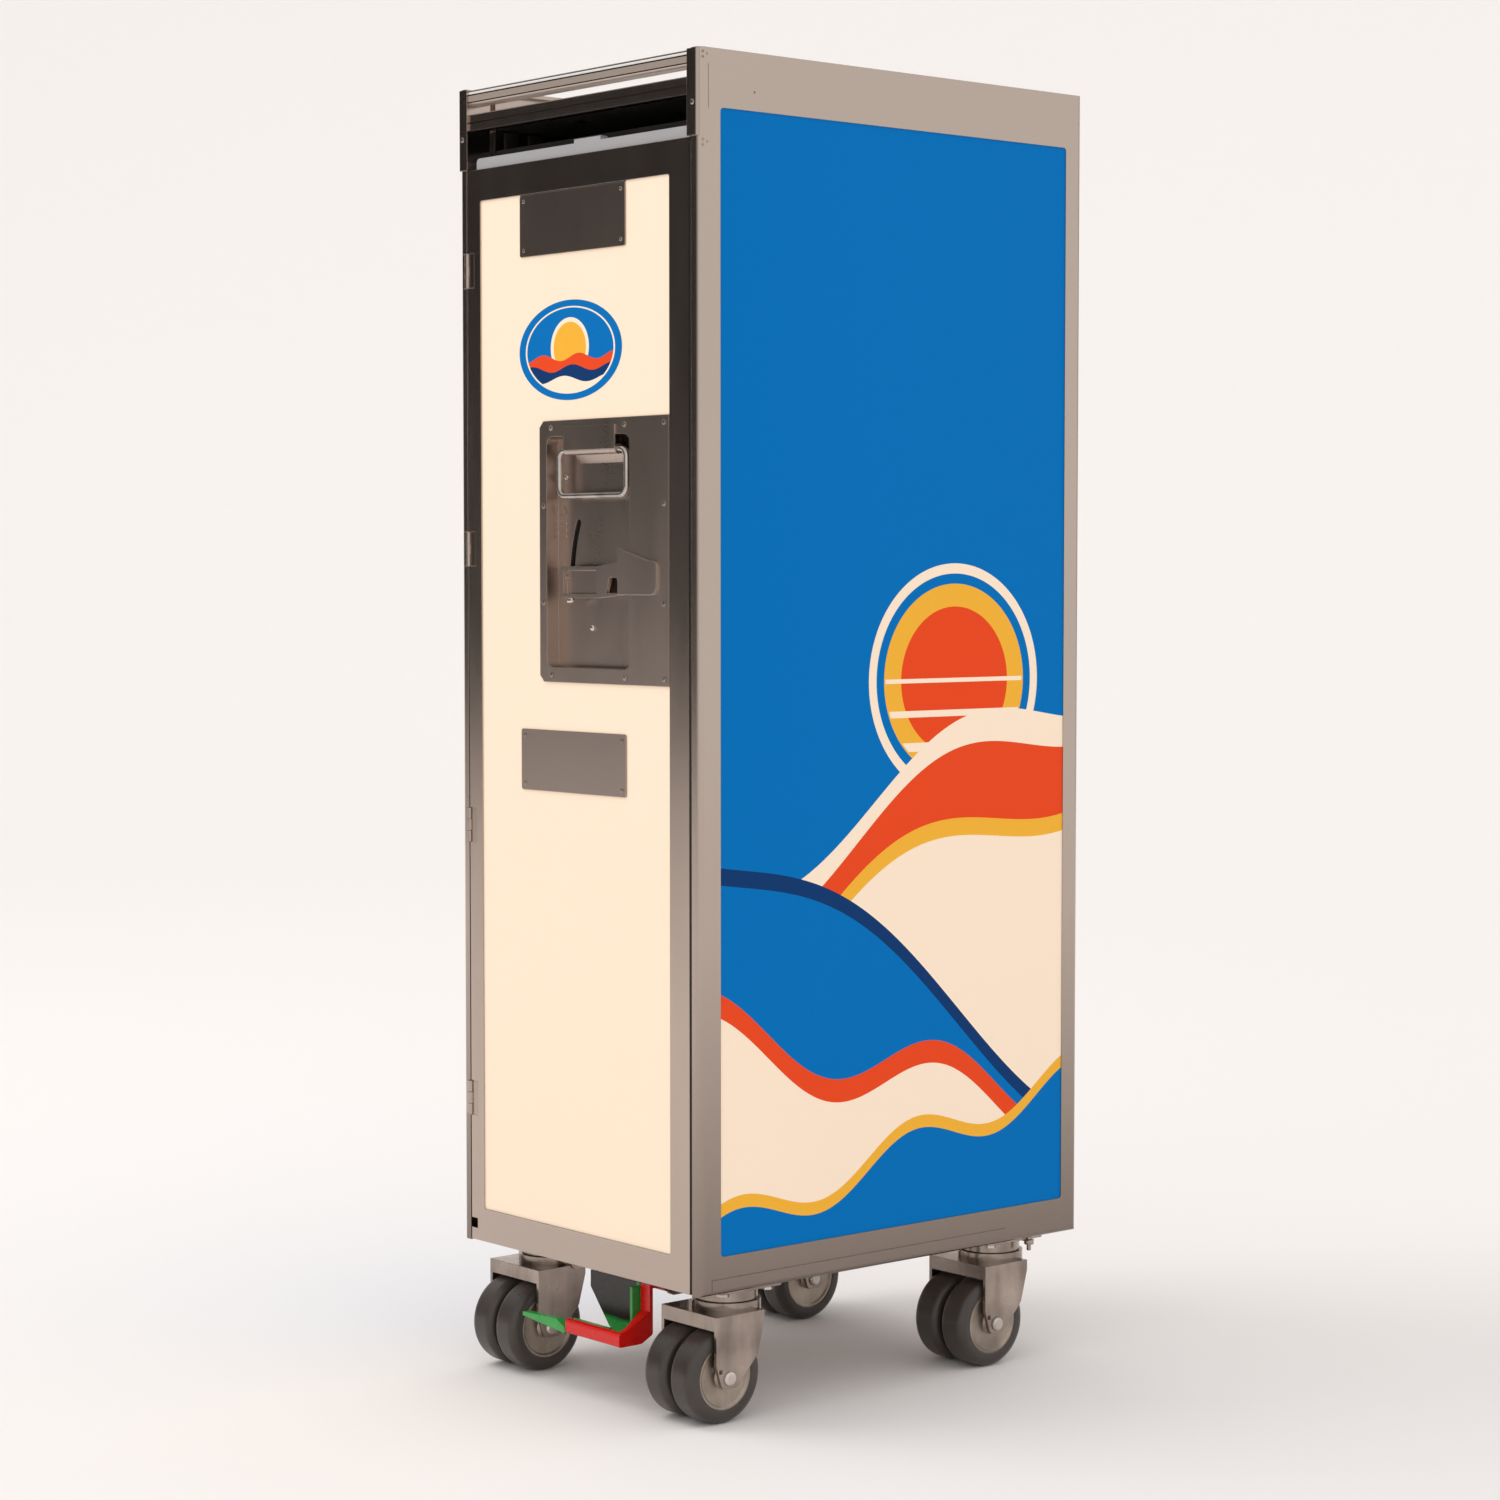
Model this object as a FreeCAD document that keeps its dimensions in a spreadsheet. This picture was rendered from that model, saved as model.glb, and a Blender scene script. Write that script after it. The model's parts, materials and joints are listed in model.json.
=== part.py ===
"""Half-size airline galley cart: sandwich-panel body, hinged door with a recessed latch,
tray runners, two-way foot brake and four twin-wheel swivel casters.  Millimetres, +Z up,
door towards -Y, origin on the floor under the middle of the cart."""
import FreeCAD, Part
import Sketcher
import math
import os
from FreeCAD import Vector

doc = FreeCAD.newDocument("galley_cart")

# ---------------------------------------------------------------- driving dimensions
DIMENSIONS = {
    # body envelope
    "cart_width": 302.0,
    "cart_depth": 405.0,
    "cart_height": 1030.0,
    "ground_clearance": 103.0,
    "front_proud": 2.2,
    # walls
    "wall_thick": 13.0,
    "post_face": 9.5,
    "corner_radius": 5.0,
    "lower_edge_radius": 4.0,
    "seam_width": 0.6,
    "seam_depth": 0.5,
    "trim_inset_front": 11.3,
    "trim_inset_rear": 82.5,
    "trim_low": 3.6,
    "trim_high": 12.3,
    "head_seam_inset": 8.5,
    "head_seam_drop": 12.0,
    "head_seam_length": 32.0,
    "wall_lip_width": 7.0,
    "wall_lip_thick": 3.0,
    "insert_margin_front": 20.3,
    "insert_margin_rear": 18.5,
    "insert_margin_bottom": 28.7,
    "insert_margin_top": 43.0,
    "insert_recess": 2.0,
    "insert_thick": 1.2,
    "insert_corner": 3.0,
    "rear_field_margin": 16.0,
    "rear_field_depth": 1.0,
    "base_thick": 15.0,
    # head of the cart
    "tray_depth": 28.5,
    "tray_sheet": 1.5,
    "tray_rim": 8.0,
    "tray_corner": 4.0,
    "fascia_height": 13.5,
    "fascia_sheet": 2.0,
    "fascia_return": 4.0,
    "fascia_groove": 0.5,
    "handle_drop": 0.8,
    "handle_height": 12.5,
    "handle_depth": 13.0,
    "handle_radius": 3.5,
    "handle_groove": 0.6,
    "handle_line_low": 2.3,
    "handle_line_high": 8.0,
    "bracket_bottom_drop": 64.5,
    "bracket_rivet_drop": 40.0,
    "bracket_thick": 1.6,
    "bracket_width": 12.7,
    "shelf_drop": 49.0,
    "shelf_lip": 2.0,
    "shelf_sheet": 1.5,
    "shelf_apron": 30.0,
    "rivet_radius": 2.0,
    "rivet_proud": 0.6,
    # tray runners
    "runner_sheet": 1.2,
    "rib_depth": 8.0,
    "rib_root": 11.0,
    "rib_tip": 6.0,
    "rib_radius": 1.6,
    "rib_pitch": 59.0,
    "rib_first": 45.0,
    "rib_head_room": 12.0,
    "rib_front_inset": 6.0,
    "rib_rear_inset": 4.0,
    "rib_lead": 10.0,
    # door
    "door_thick": 23.0,
    "door_lift": 1.0,
    "door_head_drop": 65.0,
    "door_window_left": 17.0,
    "door_window_right": 24.4,
    "door_window_bottom": 26.8,
    "door_window_top": 25.0,
    "door_panel_recess": 1.0,
    "door_panel_thick": 2.0,
    "door_liner_thick": 1.2,
    "door_round": 1.5,
    "drain_notch": 8.0,
    "drain_notch_drop": 9.6,
    "drain_notch_depth": 12.0,
    "rail_height": 9.0,
    "rail_setback": 2.0,
    "rail_left_inset": 10.0,
    "rail_right_inset": 2.2,
    "rail_end_radius": 3.5,
    "catch_tab_width": 33.0,
    "catch_tab_offset": 14.0,
    "catch_tab_height": 3.0,
    "catch_tab_depth": 7.0,
    "gasket_thick": 3.0,
    "gasket_width": 8.0,
    "gasket_inset": 1.5,
    "soft_gap": 0.3,
    "card_plate_width": 133.0,
    "card_plate_height": 48.0,
    "card_plate_shift": 38.8,
    "card_plate_top_drop": 0.6,
    "card_plate_low_drop": 418.3,
    "card_plate_thick": 1.0,
    "screw_radius": 2.2,
    "screw_proud": 0.9,
    "screw_inset": 5.0,
    "pan_screw_inset": 5.5,
    "pan_screw_upper": 66.0,
    "pan_screw_lower": 62.0,
    # hinges
    "hinge_count": 4,
    "hinge_inset_low": 115.5,
    "hinge_inset_high": 79.5,
    "hinge_height": 27.5,
    "hinge_post_gap": 0.8,
    "hinge_door_gap": 0.5,
    "hinge_leaf_thick": 1.0,
    "hinge_leaf_door": 9.2,
    "hinge_leaf_return": 6.0,
    "barrel_radius": 2.2,
    "barrel_clearance": 0.3,
    "hinge_pin_radius": 1.0,
    "running_clearance": 0.05,
    # latch
    "pan_width": 160.3,
    "pan_height": 203.0,
    "pan_drop": 202.5,
    "pan_sheet": 1.2,
    "pan_chamfer": 5.0,
    "dish_left_inset": 9.0,
    "dish_right_inset": 47.3,
    "dish_top_inset": 12.5,
    "dish_bottom_inset": 11.5,
    "dish_depth": 11.5,
    "dish_radius": 7.0,
    "pivot_inset": 21.3,
    "pivot_drop": 121.5,
    "boss_rise": 2.0,
    "hood_left": 38.5,
    "hood_right": 8.5,
    "hood_top": 22.5,
    "hood_bottom": 13.0,
    "hood_end_radius": 8.0,
    "lever_thick": 3.0,
    "lever_hub_radius": 9.5,
    "lever_reach": 114.0,
    "lever_grip_end": 69.0,
    "grip_above": 8.5,
    "grip_below": 16.0,
    "arm_above": 14.0,
    "arm_below": 15.0,
    "grip_wall": 3.0,
    "lever_play": 0.4,
    "hub_pocket_rise": 13.0,
    "lever_swing": 22.0,
    "slot_radius": 112.0,
    "slot_width": 6.0,
    "slot_relief": 3.0,
    "grip_cup_depth": 5.0,
    "spindle_radius": 5.0,
    "cam_reach": 17.3,
    "cam_pin_radius": 2.4,
    "cam_thick": 3.0,
    "cam_room": 9.0,
    "cam_swing_room": 15.0,
    "bolt_height": 20.0,
    "bolt_thick": 4.0,
    "bolt_tail": 3.0,
    "bolt_rest_inset": 1.8,
    "bolt_clearance": 0.4,
    "strike_depth": 6.0,
    "bail_rod": 5.0,
    "bail_width": 89.0,
    "bail_drop": 35.0,
    "bail_radius": 7.0,
    "bail_axis_drop": 23.5,
    "bail_bore_wall": 1.3,
    "bail_axis_depth": 3.0,
    "bail_left_inset": 19.5,
    "clip_width": 64.0,
    "clip_sheet": 1.2,
    "clip_edge_inset": 5.0,
    "ramp_drop": 3.4,
    "ramp_height": 7.0,
    "ramp_inset": 5.0,
    # casters
    "caster_trail": 24.6,
    "wheel_radius": 36.2,
    "caster_inset_side": 39.4,
    "caster_inset_front": 58.7,
    "caster_inset_rear": 60.9,
    "tyre_width": 26.0,
    "tyre_shoulder": 7.0,
    "wheel_gap": 4.6,
    "rim_radius": 25.0,
    "hub_boss_radius": 8.0,
    "hub_web": 22.0,
    "hub_slope": 1.5,
    "rim_setback": 0.6,
    "axle_radius": 4.0,
    "axle_head_radius": 5.6,
    "axle_head": 2.6,
    "fork_gap": 60.0,
    "fork_sheet": 3.0,
    "fork_top": 84.0,
    "fork_front": 37.4,
    "fork_rear": 10.0,
    "fork_lip": 8.0,
    "fork_foot_low": 28.4,
    "fork_key_size": 3.2,
    "fork_boss_radius": 8.0,
    "fork_boss_depth": 1.5,
    "race_radius": 26.5,
    "race_rise": 6.0,
    "upper_race_radius": 24.0,
    "race_clearance": 0.3,
    "kingpin_radius": 8.0,
    "mount_plate": 62.0,
    "mount_plate_thick": 3.0,
    "mount_bolt_spacing": 44.0,
    "mount_bolt_radius": 3.0,
    "mount_bolt_clearance": 0.1,
    "mount_bolt_head": 5.2,
    "mount_bolt_head_height": 3.5,
    "bolt_shank": 9.0,
    # foot brake
    "shaft_radius": 4.0,
    "shaft_end_inset": 45.6,
    "shaft_end_proud": 2.0,
    "shaft_setback": 50.3,
    "shaft_drop": 11.0,
    "bearing_half": 10.0,
    "bearing_thick": 4.0,
    "pedal_hub_radius": 7.0,
    "pedal_sheet": 3.0,
    "pedal_arm_setback": 30.3,
    "red_tread_left": 15.5,
    "red_arm_width": 11.5,
    "red_arm_end_gap": 7.0,
    "ramp_spread": 6.5,
    "ramp_rise": 12.0,
    "tread_depth": 6.0,
    "tread_height": 12.0,
    "tread_low": 48.0,
    "tread_round": 2.0,
    "green_pad_inset": 40.1,
    "green_arm_width": 62.0,
    "pedal_side_gap": 1.5,
    "apron_taper": 24.0,
    "apron_shoulder": 12.0,
    "apron_lip": 7.0,
    "apron_flange": 7.0,
    "green_strip_setback": 17.3,
    "green_strip": 2.5,
    "pedal_gap": 1.0,
}

sheet = doc.addObject("Spreadsheet::Sheet", "sizes")
for row, (alias, number) in enumerate(DIMENSIONS.items(), start=1):
    sheet.set(f"A{row}", alias)
    sheet.set(f"B{row}", str(number))
    sheet.setAlias(f"B{row}", alias)
doc.recompute()


class Size:
    """A sheet length or arithmetic on such lengths: text is the expression, value its number."""

    def __init__(self, text, value):
        self.text = text
        self.value = float(value)

    def __add__(self, other):
        other = as_size(other)
        return Size(f"({self.text} + {other.text})", self.value + other.value)

    def __sub__(self, other):
        other = as_size(other)
        return Size(f"({self.text} - {other.text})", self.value - other.value)

    def __mul__(self, other):
        other = as_size(other)
        return Size(f"({self.text} * {other.text})", self.value * other.value)

    def __truediv__(self, other):
        other = as_size(other)
        return Size(f"({self.text} / {other.text})", self.value / other.value)

    def __radd__(self, other):
        return as_size(other) + self

    def __rsub__(self, other):
        return as_size(other) - self

    def __rmul__(self, other):
        return as_size(other) * self

    def __neg__(self):
        return Size(f"(0 - {self.text})", -self.value)


def as_size(number):
    return number if isinstance(number, Size) else Size(repr(float(number)), number)


def sine(angle):
    return Size(f"sin({angle.text} * 1 deg)", math.sin(math.radians(angle.value)))


def cosine(angle):
    return Size(f"cos({angle.text} * 1 deg)", math.cos(math.radians(angle.value)))


def whole(size):
    """The size rounded down to a whole number."""
    return Size(f"floor({size.text})", math.floor(size.value + 1e-9))


def cell(alias):
    return Size(f"sizes.{alias}", DIMENSIONS[alias])


# ---------------------------------------------------------------- modelling helpers
PLANES = {"XY": "XY_Plane", "XZ": "XZ_Plane", "YZ": "YZ_Plane"}


def new_body(label):
    body = doc.addObject("PartDesign::Body", label)
    body.Label = label
    body.AllowCompound = True
    return body


def origin_feature(body, role):
    for feature in body.Origin.OriginFeatures:
        if feature.Role == role:
            return feature
    raise ValueError(f"{body.Label} has no {role}")


def new_sketch(body, plane, height):
    """A sketch on one of the body's origin planes, moved along the plane's normal."""
    drawing = body.newObject("Sketcher::SketchObject", f"{body.Label}_sketch")
    drawing.AttachmentSupport = (origin_feature(body, PLANES[plane]), [""])
    drawing.MapMode = "FlatFace"
    drawing.setExpression(".AttachmentOffset.Base.z", as_size(height).text)
    return drawing


def pin_point(drawing, geometry, vertex, across, up):
    """Fix one sketch point at two driven coordinates."""
    for kind, size in (("DistanceX", as_size(across)), ("DistanceY", as_size(up))):
        index = drawing.addConstraint(Sketcher.Constraint(kind, geometry, vertex, size.value))
        drawing.setExpression(f"Constraints[{index}]", size.text)


def draw_circle(drawing, across, up, radius):
    across, up, radius = as_size(across), as_size(up), as_size(radius)
    centre = Vector(across.value, up.value, 0)
    circle = drawing.addGeometry(Part.Circle(centre, Vector(0, 0, 1), radius.value), False)
    pin_point(drawing, circle, 3, across, up)
    index = drawing.addConstraint(Sketcher.Constraint("Radius", circle, radius.value))
    drawing.setExpression(f"Constraints[{index}]", radius.text)


def corner_round(before, corner, after, radius):
    """The arc that rounds a corner, its two ends, and whether it runs clockwise."""
    towards_start = (before - corner).normalize()
    towards_end = (after - corner).normalize()
    half = towards_start.getAngle(towards_end) / 2
    start = corner + towards_start * (radius / math.tan(half))
    end = corner + towards_end * (radius / math.tan(half))
    bisector = (towards_start + towards_end).normalize()
    centre = corner + bisector * (radius / math.sin(half))
    clockwise = towards_start.cross(towards_end).z > 0
    first, last = (end, start) if clockwise else (start, end)
    angles = [math.atan2(point.y - centre.y, point.x - centre.x) for point in (first, last)]
    if angles[1] < angles[0]:
        angles[1] += 2 * math.pi
    arc = Part.ArcOfCircle(Part.Circle(centre, Vector(0, 0, 1), radius), *angles)
    return arc, start, end, clockwise


def draw_outline(drawing, corners):
    """A closed outline of straight runs; a corner with a third value is rounded by it."""
    corners = [tuple(as_size(part) for part in corner) for corner in corners]
    points = [Vector(corner[0].value, corner[1].value, 0) for corner in corners]
    count = len(points)
    arcs = {}
    starts, ends = list(points), list(points)
    for index, corner in enumerate(corners):
        if len(corner) > 2:
            arcs[index] = corner_round(points[index - 1], points[index],
                                       points[(index + 1) % count], corner[2].value)
            _, ends[index], starts[index], _ = arcs[index]
    lines = []
    for index in range(count):
        run = Part.LineSegment(starts[index], ends[(index + 1) % count])
        lines.append(drawing.addGeometry(run, False))
    for index, corner in enumerate(corners):
        before, after = lines[index - 1], lines[index]
        if index in arcs:
            arc = drawing.addGeometry(arcs[index][0], False)
            marker = drawing.addGeometry(Part.Point(points[index]), True)
            pin_point(drawing, marker, 1, corner[0], corner[1])
            first, last = (2, 1) if arcs[index][3] else (1, 2)
            drawing.addConstraint([
                Sketcher.Constraint("PointOnObject", marker, 1, before),
                Sketcher.Constraint("PointOnObject", marker, 1, after),
                Sketcher.Constraint("Tangent", before, 2, arc, first),
                Sketcher.Constraint("Tangent", after, 1, arc, last)])
            radius = drawing.addConstraint(Sketcher.Constraint("Radius", arc, corner[2].value))
            drawing.setExpression(f"Constraints[{radius}]", corner[2].text)
        else:
            drawing.addConstraint(Sketcher.Constraint("Coincident", before, 2, after, 1))
            pin_point(drawing, after, 1, corner[0], corner[1])


def draw(drawing, loops):
    for loop in loops:
        if isinstance(loop, dict):
            draw_circle(drawing, loop["across"], loop["up"], loop["radius"])
        else:
            draw_outline(drawing, loop)


def circle(across, up, radius):
    return {"across": across, "up": up, "radius": radius}


def box_outline(left, low, right, high, radius=None):
    corners = [(left, low), (right, low), (right, high), (left, high)]
    return corners if radius is None else [corner + (radius,) for corner in corners]


def pad(body, plane, low, high, *loops):
    """Solid between two heights on the axis across the plane (X for YZ, Y for XZ, Z for XY)."""
    low, high = as_size(low), as_size(high)
    drawing = new_sketch(body, plane, -high if plane == "XZ" else low)
    draw(drawing, loops)
    feature = body.newObject("PartDesign::Pad", f"{body.Label}_pad")
    feature.Profile = drawing
    feature.setExpression("Length", (high - low).text)
    doc.recompute()
    return feature


def pocket(body, plane, low, high, *loops):
    """Cut between two heights on the axis across the plane; a cut that takes nothing is an error."""
    low, high = as_size(low), as_size(high)
    before = body.Shape.Volume
    drawing = new_sketch(body, plane, -low if plane == "XZ" else high)
    draw(drawing, loops)
    feature = body.newObject("PartDesign::Pocket", f"{body.Label}_pocket")
    feature.Profile = drawing
    feature.setExpression("Length", (high - low).text)
    doc.recompute()
    if body.Shape.Volume >= before - 1e-6:
        raise ValueError(f"a pocket of {body.Label} removed nothing")
    return feature


def revolve(body, plane, axis, outline):
    """Solid of revolution about one axis of the sketch."""
    drawing = new_sketch(body, plane, 0)
    draw_outline(drawing, outline)
    feature = body.newObject("PartDesign::Revolution", f"{body.Label}_turning")
    feature.Profile = drawing
    feature.ReferenceAxis = (drawing, [axis])
    feature.Angle = 360
    doc.recompute()
    return feature


def repeat(body, originals, role, pitch, count):
    """Copies of features in a row along one of the body's own axes."""
    pattern = body.newObject("PartDesign::LinearPattern", f"{body.Label}_row")
    pattern.Originals = originals
    pattern.Direction = (origin_feature(body, role), [""])
    pattern.setExpression("Length", (as_size(pitch) * (as_size(count) - 1)).text)
    pattern.setExpression("Occurrences", as_size(count).text)
    body.Tip = pattern
    doc.recompute()
    return pattern


def round_edges(body, radius, chosen):
    """Fillet the edges of the body so far for which chosen(middle, direction) holds."""
    base = body.Tip
    names = []
    for number, edge in enumerate(base.Shape.Edges, start=1):
        if not isinstance(edge.Curve, Part.Line):
            continue
        middle = edge.valueAt((edge.FirstParameter + edge.LastParameter) / 2)
        if chosen(middle, edge.tangentAt(edge.FirstParameter)):
            names.append(f"Edge{number}")
    if not names:
        raise ValueError(f"no edge of {body.Label} was found to round")
    feature = body.newObject("PartDesign::Fillet", f"{body.Label}_round")
    feature.Base = (base, names)
    feature.setExpression("Radius", as_size(radius).text)
    doc.recompute()
    return feature


def place(body, across=0, along=0, up=0):
    """Bind the position of a body that was drawn about its own origin."""
    for axis, size in (("x", across), ("y", along), ("z", up)):
        body.setExpression(f".Placement.Base.{axis}", as_size(size).text)
    return body


def near(value, target, slack=0.05):
    return abs(value - target.value) < slack


def turn_cut(body, height, axis_at, outline, angle, reverse=False):
    """Cut swept by an XY-plane outline about a line through axis_at parallel to Y."""
    before = body.Shape.Volume
    drawing = new_sketch(body, "XY", height)
    draw_outline(drawing, outline)
    across = as_size(axis_at)
    start, end = Vector(across.value, 0, 0), Vector(across.value, 10, 0)
    line = drawing.addGeometry(Part.LineSegment(start, end), True)
    drawing.addConstraint(Sketcher.Constraint("Vertical", line))
    pin_point(drawing, line, 1, across, 0)
    drawing.addConstraint(Sketcher.Constraint("DistanceY", line, 1, line, 2, 10))
    feature = body.newObject("PartDesign::Groove", f"{body.Label}_groove")
    feature.Profile = drawing
    feature.ReferenceAxis = (drawing, ["Axis0"])
    feature.Reversed = reverse
    feature.setExpression("Angle", as_size(angle).text)
    doc.recompute()
    if body.Shape.Volume >= before - 1e-6:
        raise ValueError(f"a groove of {body.Label} removed nothing")
    return feature


def sweep_ring(body, plane, height, outline, start, radius):
    """Round rod bent along a closed outline; start is a point on it where it runs upright."""
    path = new_sketch(body, plane, height)
    draw_outline(path, outline)
    section = new_sketch(body, "XY", start[1])
    draw_circle(section, start[0], as_size(height) * (-1 if plane == "XZ" else 1), radius)
    doc.recompute()
    feature = body.newObject("PartDesign::AdditivePipe", f"{body.Label}_rod")
    feature.Profile = section
    feature.Spine = (path, [])
    doc.recompute()
    return feature


def mirrored(outline, side):
    return [(corner[0] * side,) + tuple(corner[1:]) for corner in outline]


def sides(side, inner, outer):
    """The two X values of a range stated for the right-hand side, in rising order."""
    return (inner, outer) if side > 0 else (-outer, -inner)


def corners_of(across, along):
    """The four sign combinations of a point set square about the middle."""
    return [(across * i, along * j) for i in (-1, 1) for j in (-1, 1)]


# ---------------------------------------------------------------- positions worked out once
half_width = cell("cart_width") / 2
proud = cell("front_proud")
front = proud - cell("cart_depth") / 2
rear = cell("cart_depth") / 2
floor = cell("ground_clearance")
top = cell("cart_height")
wall_inner = half_width - cell("wall_thick")
post_inner = half_width - cell("post_face")
bracket_inner = half_width - cell("bracket_width")
hinge_axis = -(post_inner - cell("hinge_post_gap") - cell("running_clearance") * 2)
door_edge = -(hinge_axis + cell("hinge_door_gap"))
door_back = front + cell("door_thick")
stop = door_back + cell("gasket_thick") + cell("soft_gap")
rear_inner = rear - cell("wall_thick")
base_top = floor + cell("base_thick")
shelf_top = top - cell("shelf_drop")
shelf_under = shelf_top - cell("shelf_sheet")
tray_floor = top - cell("tray_depth")
tray_under = tray_floor - cell("tray_sheet")
tray_rim = tray_floor + cell("tray_rim")
runner_face = wall_inner - cell("runner_sheet")
door_low = floor + cell("door_lift")
door_high = top - cell("door_head_drop")
window_left = -(door_edge - cell("door_window_left"))
window_right = door_edge - cell("door_window_right")
window_low = door_low + cell("door_window_bottom")
window_high = door_high - cell("door_window_top")
panel_face = front + cell("door_panel_recess")
panel_back = panel_face + cell("door_panel_thick")
liner_face = door_back - cell("door_liner_thick")
hinge_span = door_high - door_low - cell("hinge_inset_low") - cell("hinge_inset_high")
hinge_pitch = hinge_span / (cell("hinge_count") - 1)
hinge_low = door_low + cell("hinge_inset_low") - cell("hinge_height") / 2
hinge_high = hinge_low + cell("hinge_height")
barrel_cut = cell("barrel_radius") + cell("barrel_clearance")
segment = (cell("hinge_height") - cell("barrel_clearance") * 2) / 3
pan_right = window_right - 0.4
pan_left = pan_right - cell("pan_width")
pan_high = door_high - cell("pan_drop")
pan_low = pan_high - cell("pan_height")
pan_back = panel_face
pan_face = pan_back - cell("pan_sheet")
dish_left = pan_left + cell("dish_left_inset")
dish_right = pan_right - cell("dish_right_inset")
dish_low = pan_low + cell("dish_bottom_inset")
dish_high = pan_high - cell("dish_top_inset")
dish_floor = pan_face + cell("dish_depth")
dish_back = dish_floor + cell("pan_sheet")
pivot_across = pan_right - cell("pivot_inset")
pivot_up = pan_high - cell("pivot_drop")
lever_face = pan_back + cell("lever_play")
lever_back = lever_face + cell("lever_thick")
cam_face = dish_back + cell("lever_play")
cam_back = cam_face + cell("cam_thick")
bolt_face = cam_back + cell("lever_play")
bolt_back = bolt_face + cell("bolt_thick")
bolt_up = pivot_up - cell("cam_reach")
hood_left = pivot_across - cell("hood_left")
hood_right = pivot_across + cell("hood_right")
hub_pocket = [
    (dish_right - 2, pivot_up - cell("arm_below")),
    (pivot_across + cell("lever_hub_radius") + 1, pivot_up - cell("arm_below"), 3),
    (pivot_across + cell("lever_hub_radius") + 1, pivot_up + cell("lever_hub_radius") + 2, 3),
    (dish_right - 2, pivot_up + cell("arm_above") + cell("hub_pocket_rise"))]
bail_left = pan_left + cell("bail_left_inset") + cell("bail_rod") / 2
bail_right = bail_left + cell("bail_width") - cell("bail_rod")
bail_top = pan_high - cell("bail_axis_drop")
bail_low = bail_top - cell("bail_drop")
bail_depth = pan_face + cell("bail_axis_depth")
caster_across = half_width - cell("caster_inset_side")
caster_front = front + cell("caster_inset_front")
caster_rear = rear - cell("caster_inset_rear")
caster_spots = [(x, y) for x in (-caster_across, caster_across)
                for y in (caster_front, caster_rear)]
mount_hole = cell("mount_bolt_radius") + cell("mount_bolt_clearance")
shaft_along = front + cell("shaft_setback")
shaft_half = caster_across - cell("shaft_end_inset")
bearing_outer = shaft_half - cell("shaft_end_proud")
bearing_inner = bearing_outer - cell("bearing_thick")
red_arm_right = bearing_inner - cell("red_arm_end_gap")
red_arm_left = red_arm_right - cell("red_arm_width")
green_arm_right = red_arm_left - cell("pedal_side_gap")
green_arm_left = green_arm_right - cell("green_arm_width")
shaft_up = floor - cell("shaft_drop")

# ---------------------------------------------------------------- walls
def insert_field():
    """Outline (Y, Z) shared by the recess of a side wall and the board set in it."""
    return box_outline(front + cell("insert_margin_front"),
                       floor + cell("insert_margin_bottom"),
                       rear - cell("insert_margin_rear"),
                       top - cell("insert_margin_top"), cell("insert_corner"))


def hinge_leaf_body_outline(edge):
    """Plan of a body leaf: flush on the post, folded round the corner and ending at edge."""
    inner = cell("hinge_leaf_thick")
    return [(edge, front),
            (-half_width, front, cell("corner_radius")),
            (-half_width, front + cell("hinge_leaf_return")),
            (-half_width + inner, front + cell("hinge_leaf_return")),
            (-half_width + inner, front + inner, cell("corner_radius") - inner),
            (edge, front + inner)]


def side_wall(label, side):
    """Sandwich board with the door post at its front and a lip along its top."""
    body = new_body(label)
    plan = [(post_inner, front),
            (half_width, front, cell("corner_radius")),
            (half_width, rear, cell("corner_radius")),
            (wall_inner, rear),
            (wall_inner, stop),
            (post_inner, stop)]
    pad(body, "XY", floor, top, mirrored(plan, side))
    lip = box_outline(wall_inner - cell("wall_lip_width"), front + cell("handle_depth"),
                      wall_inner, rear - cell("handle_depth"))
    pad(body, "XY", top - cell("wall_lip_thick"), top, mirrored(lip, side))
    outer_face = sides(side, half_width - cell("insert_recess"), half_width)
    pocket(body, "YZ", *outer_face, insert_field())
    seam_face = sides(side, half_width - cell("seam_depth"), half_width)
    pocket(body, "YZ", *seam_face, base_trim_seam(), head_seam())
    pocket(body, "XZ", front, rear, mirrored(lower_edge_round(), side))
    if side < 0:
        leaf = pocket(body, "XY", hinge_low, hinge_high, hinge_leaf_body_outline(hinge_axis))
        barrel = pocket(body, "XY", hinge_low - cell("barrel_clearance"),
                        hinge_high + cell("barrel_clearance"),
                        circle(hinge_axis, front, barrel_cut))
        repeat(body, [leaf, barrel], "Z_Axis", hinge_pitch, cell("hinge_count"))
    else:
        half = cell("bolt_height") / 2 + cell("bolt_clearance")
        strike = box_outline(bolt_face - cell("bolt_clearance"), bolt_up - half,
                             bolt_back + cell("bolt_clearance"), bolt_up + half)
        pocket(body, "YZ", post_inner, post_inner + cell("strike_depth"), strike)
    return body


def base_trim_seam():
    """Outline (Y, Z) of the fine seam round the front end and top of the base trim."""
    wide = cell("seam_width")
    start = front + cell("trim_inset_front")
    end = rear - cell("trim_inset_rear")
    low = floor + cell("trim_low")
    high = floor + cell("trim_high")
    return [(start, low), (start + wide, low), (start + wide, high - wide), (end, high - wide),
            (end, high), (start, high)]


def head_seam():
    """Outline (Y, Z) of the short upright seam behind the front bar."""
    start = front + cell("head_seam_inset")
    high = top - cell("head_seam_drop")
    return box_outline(start, high - cell("head_seam_length"), start + cell("seam_width"), high)


def lower_edge_round():
    """Outline (X, Z) of what is taken off the right wall's lower outer edge."""
    radius = cell("lower_edge_radius")
    return [(half_width - radius - 1, floor - 1),
            (half_width + 1, floor - 1),
            (half_width + 1, floor + radius + 1),
            (half_width, floor + radius + 1),
            (half_width, floor, radius),
            (half_width - radius - 1, floor)]


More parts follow.
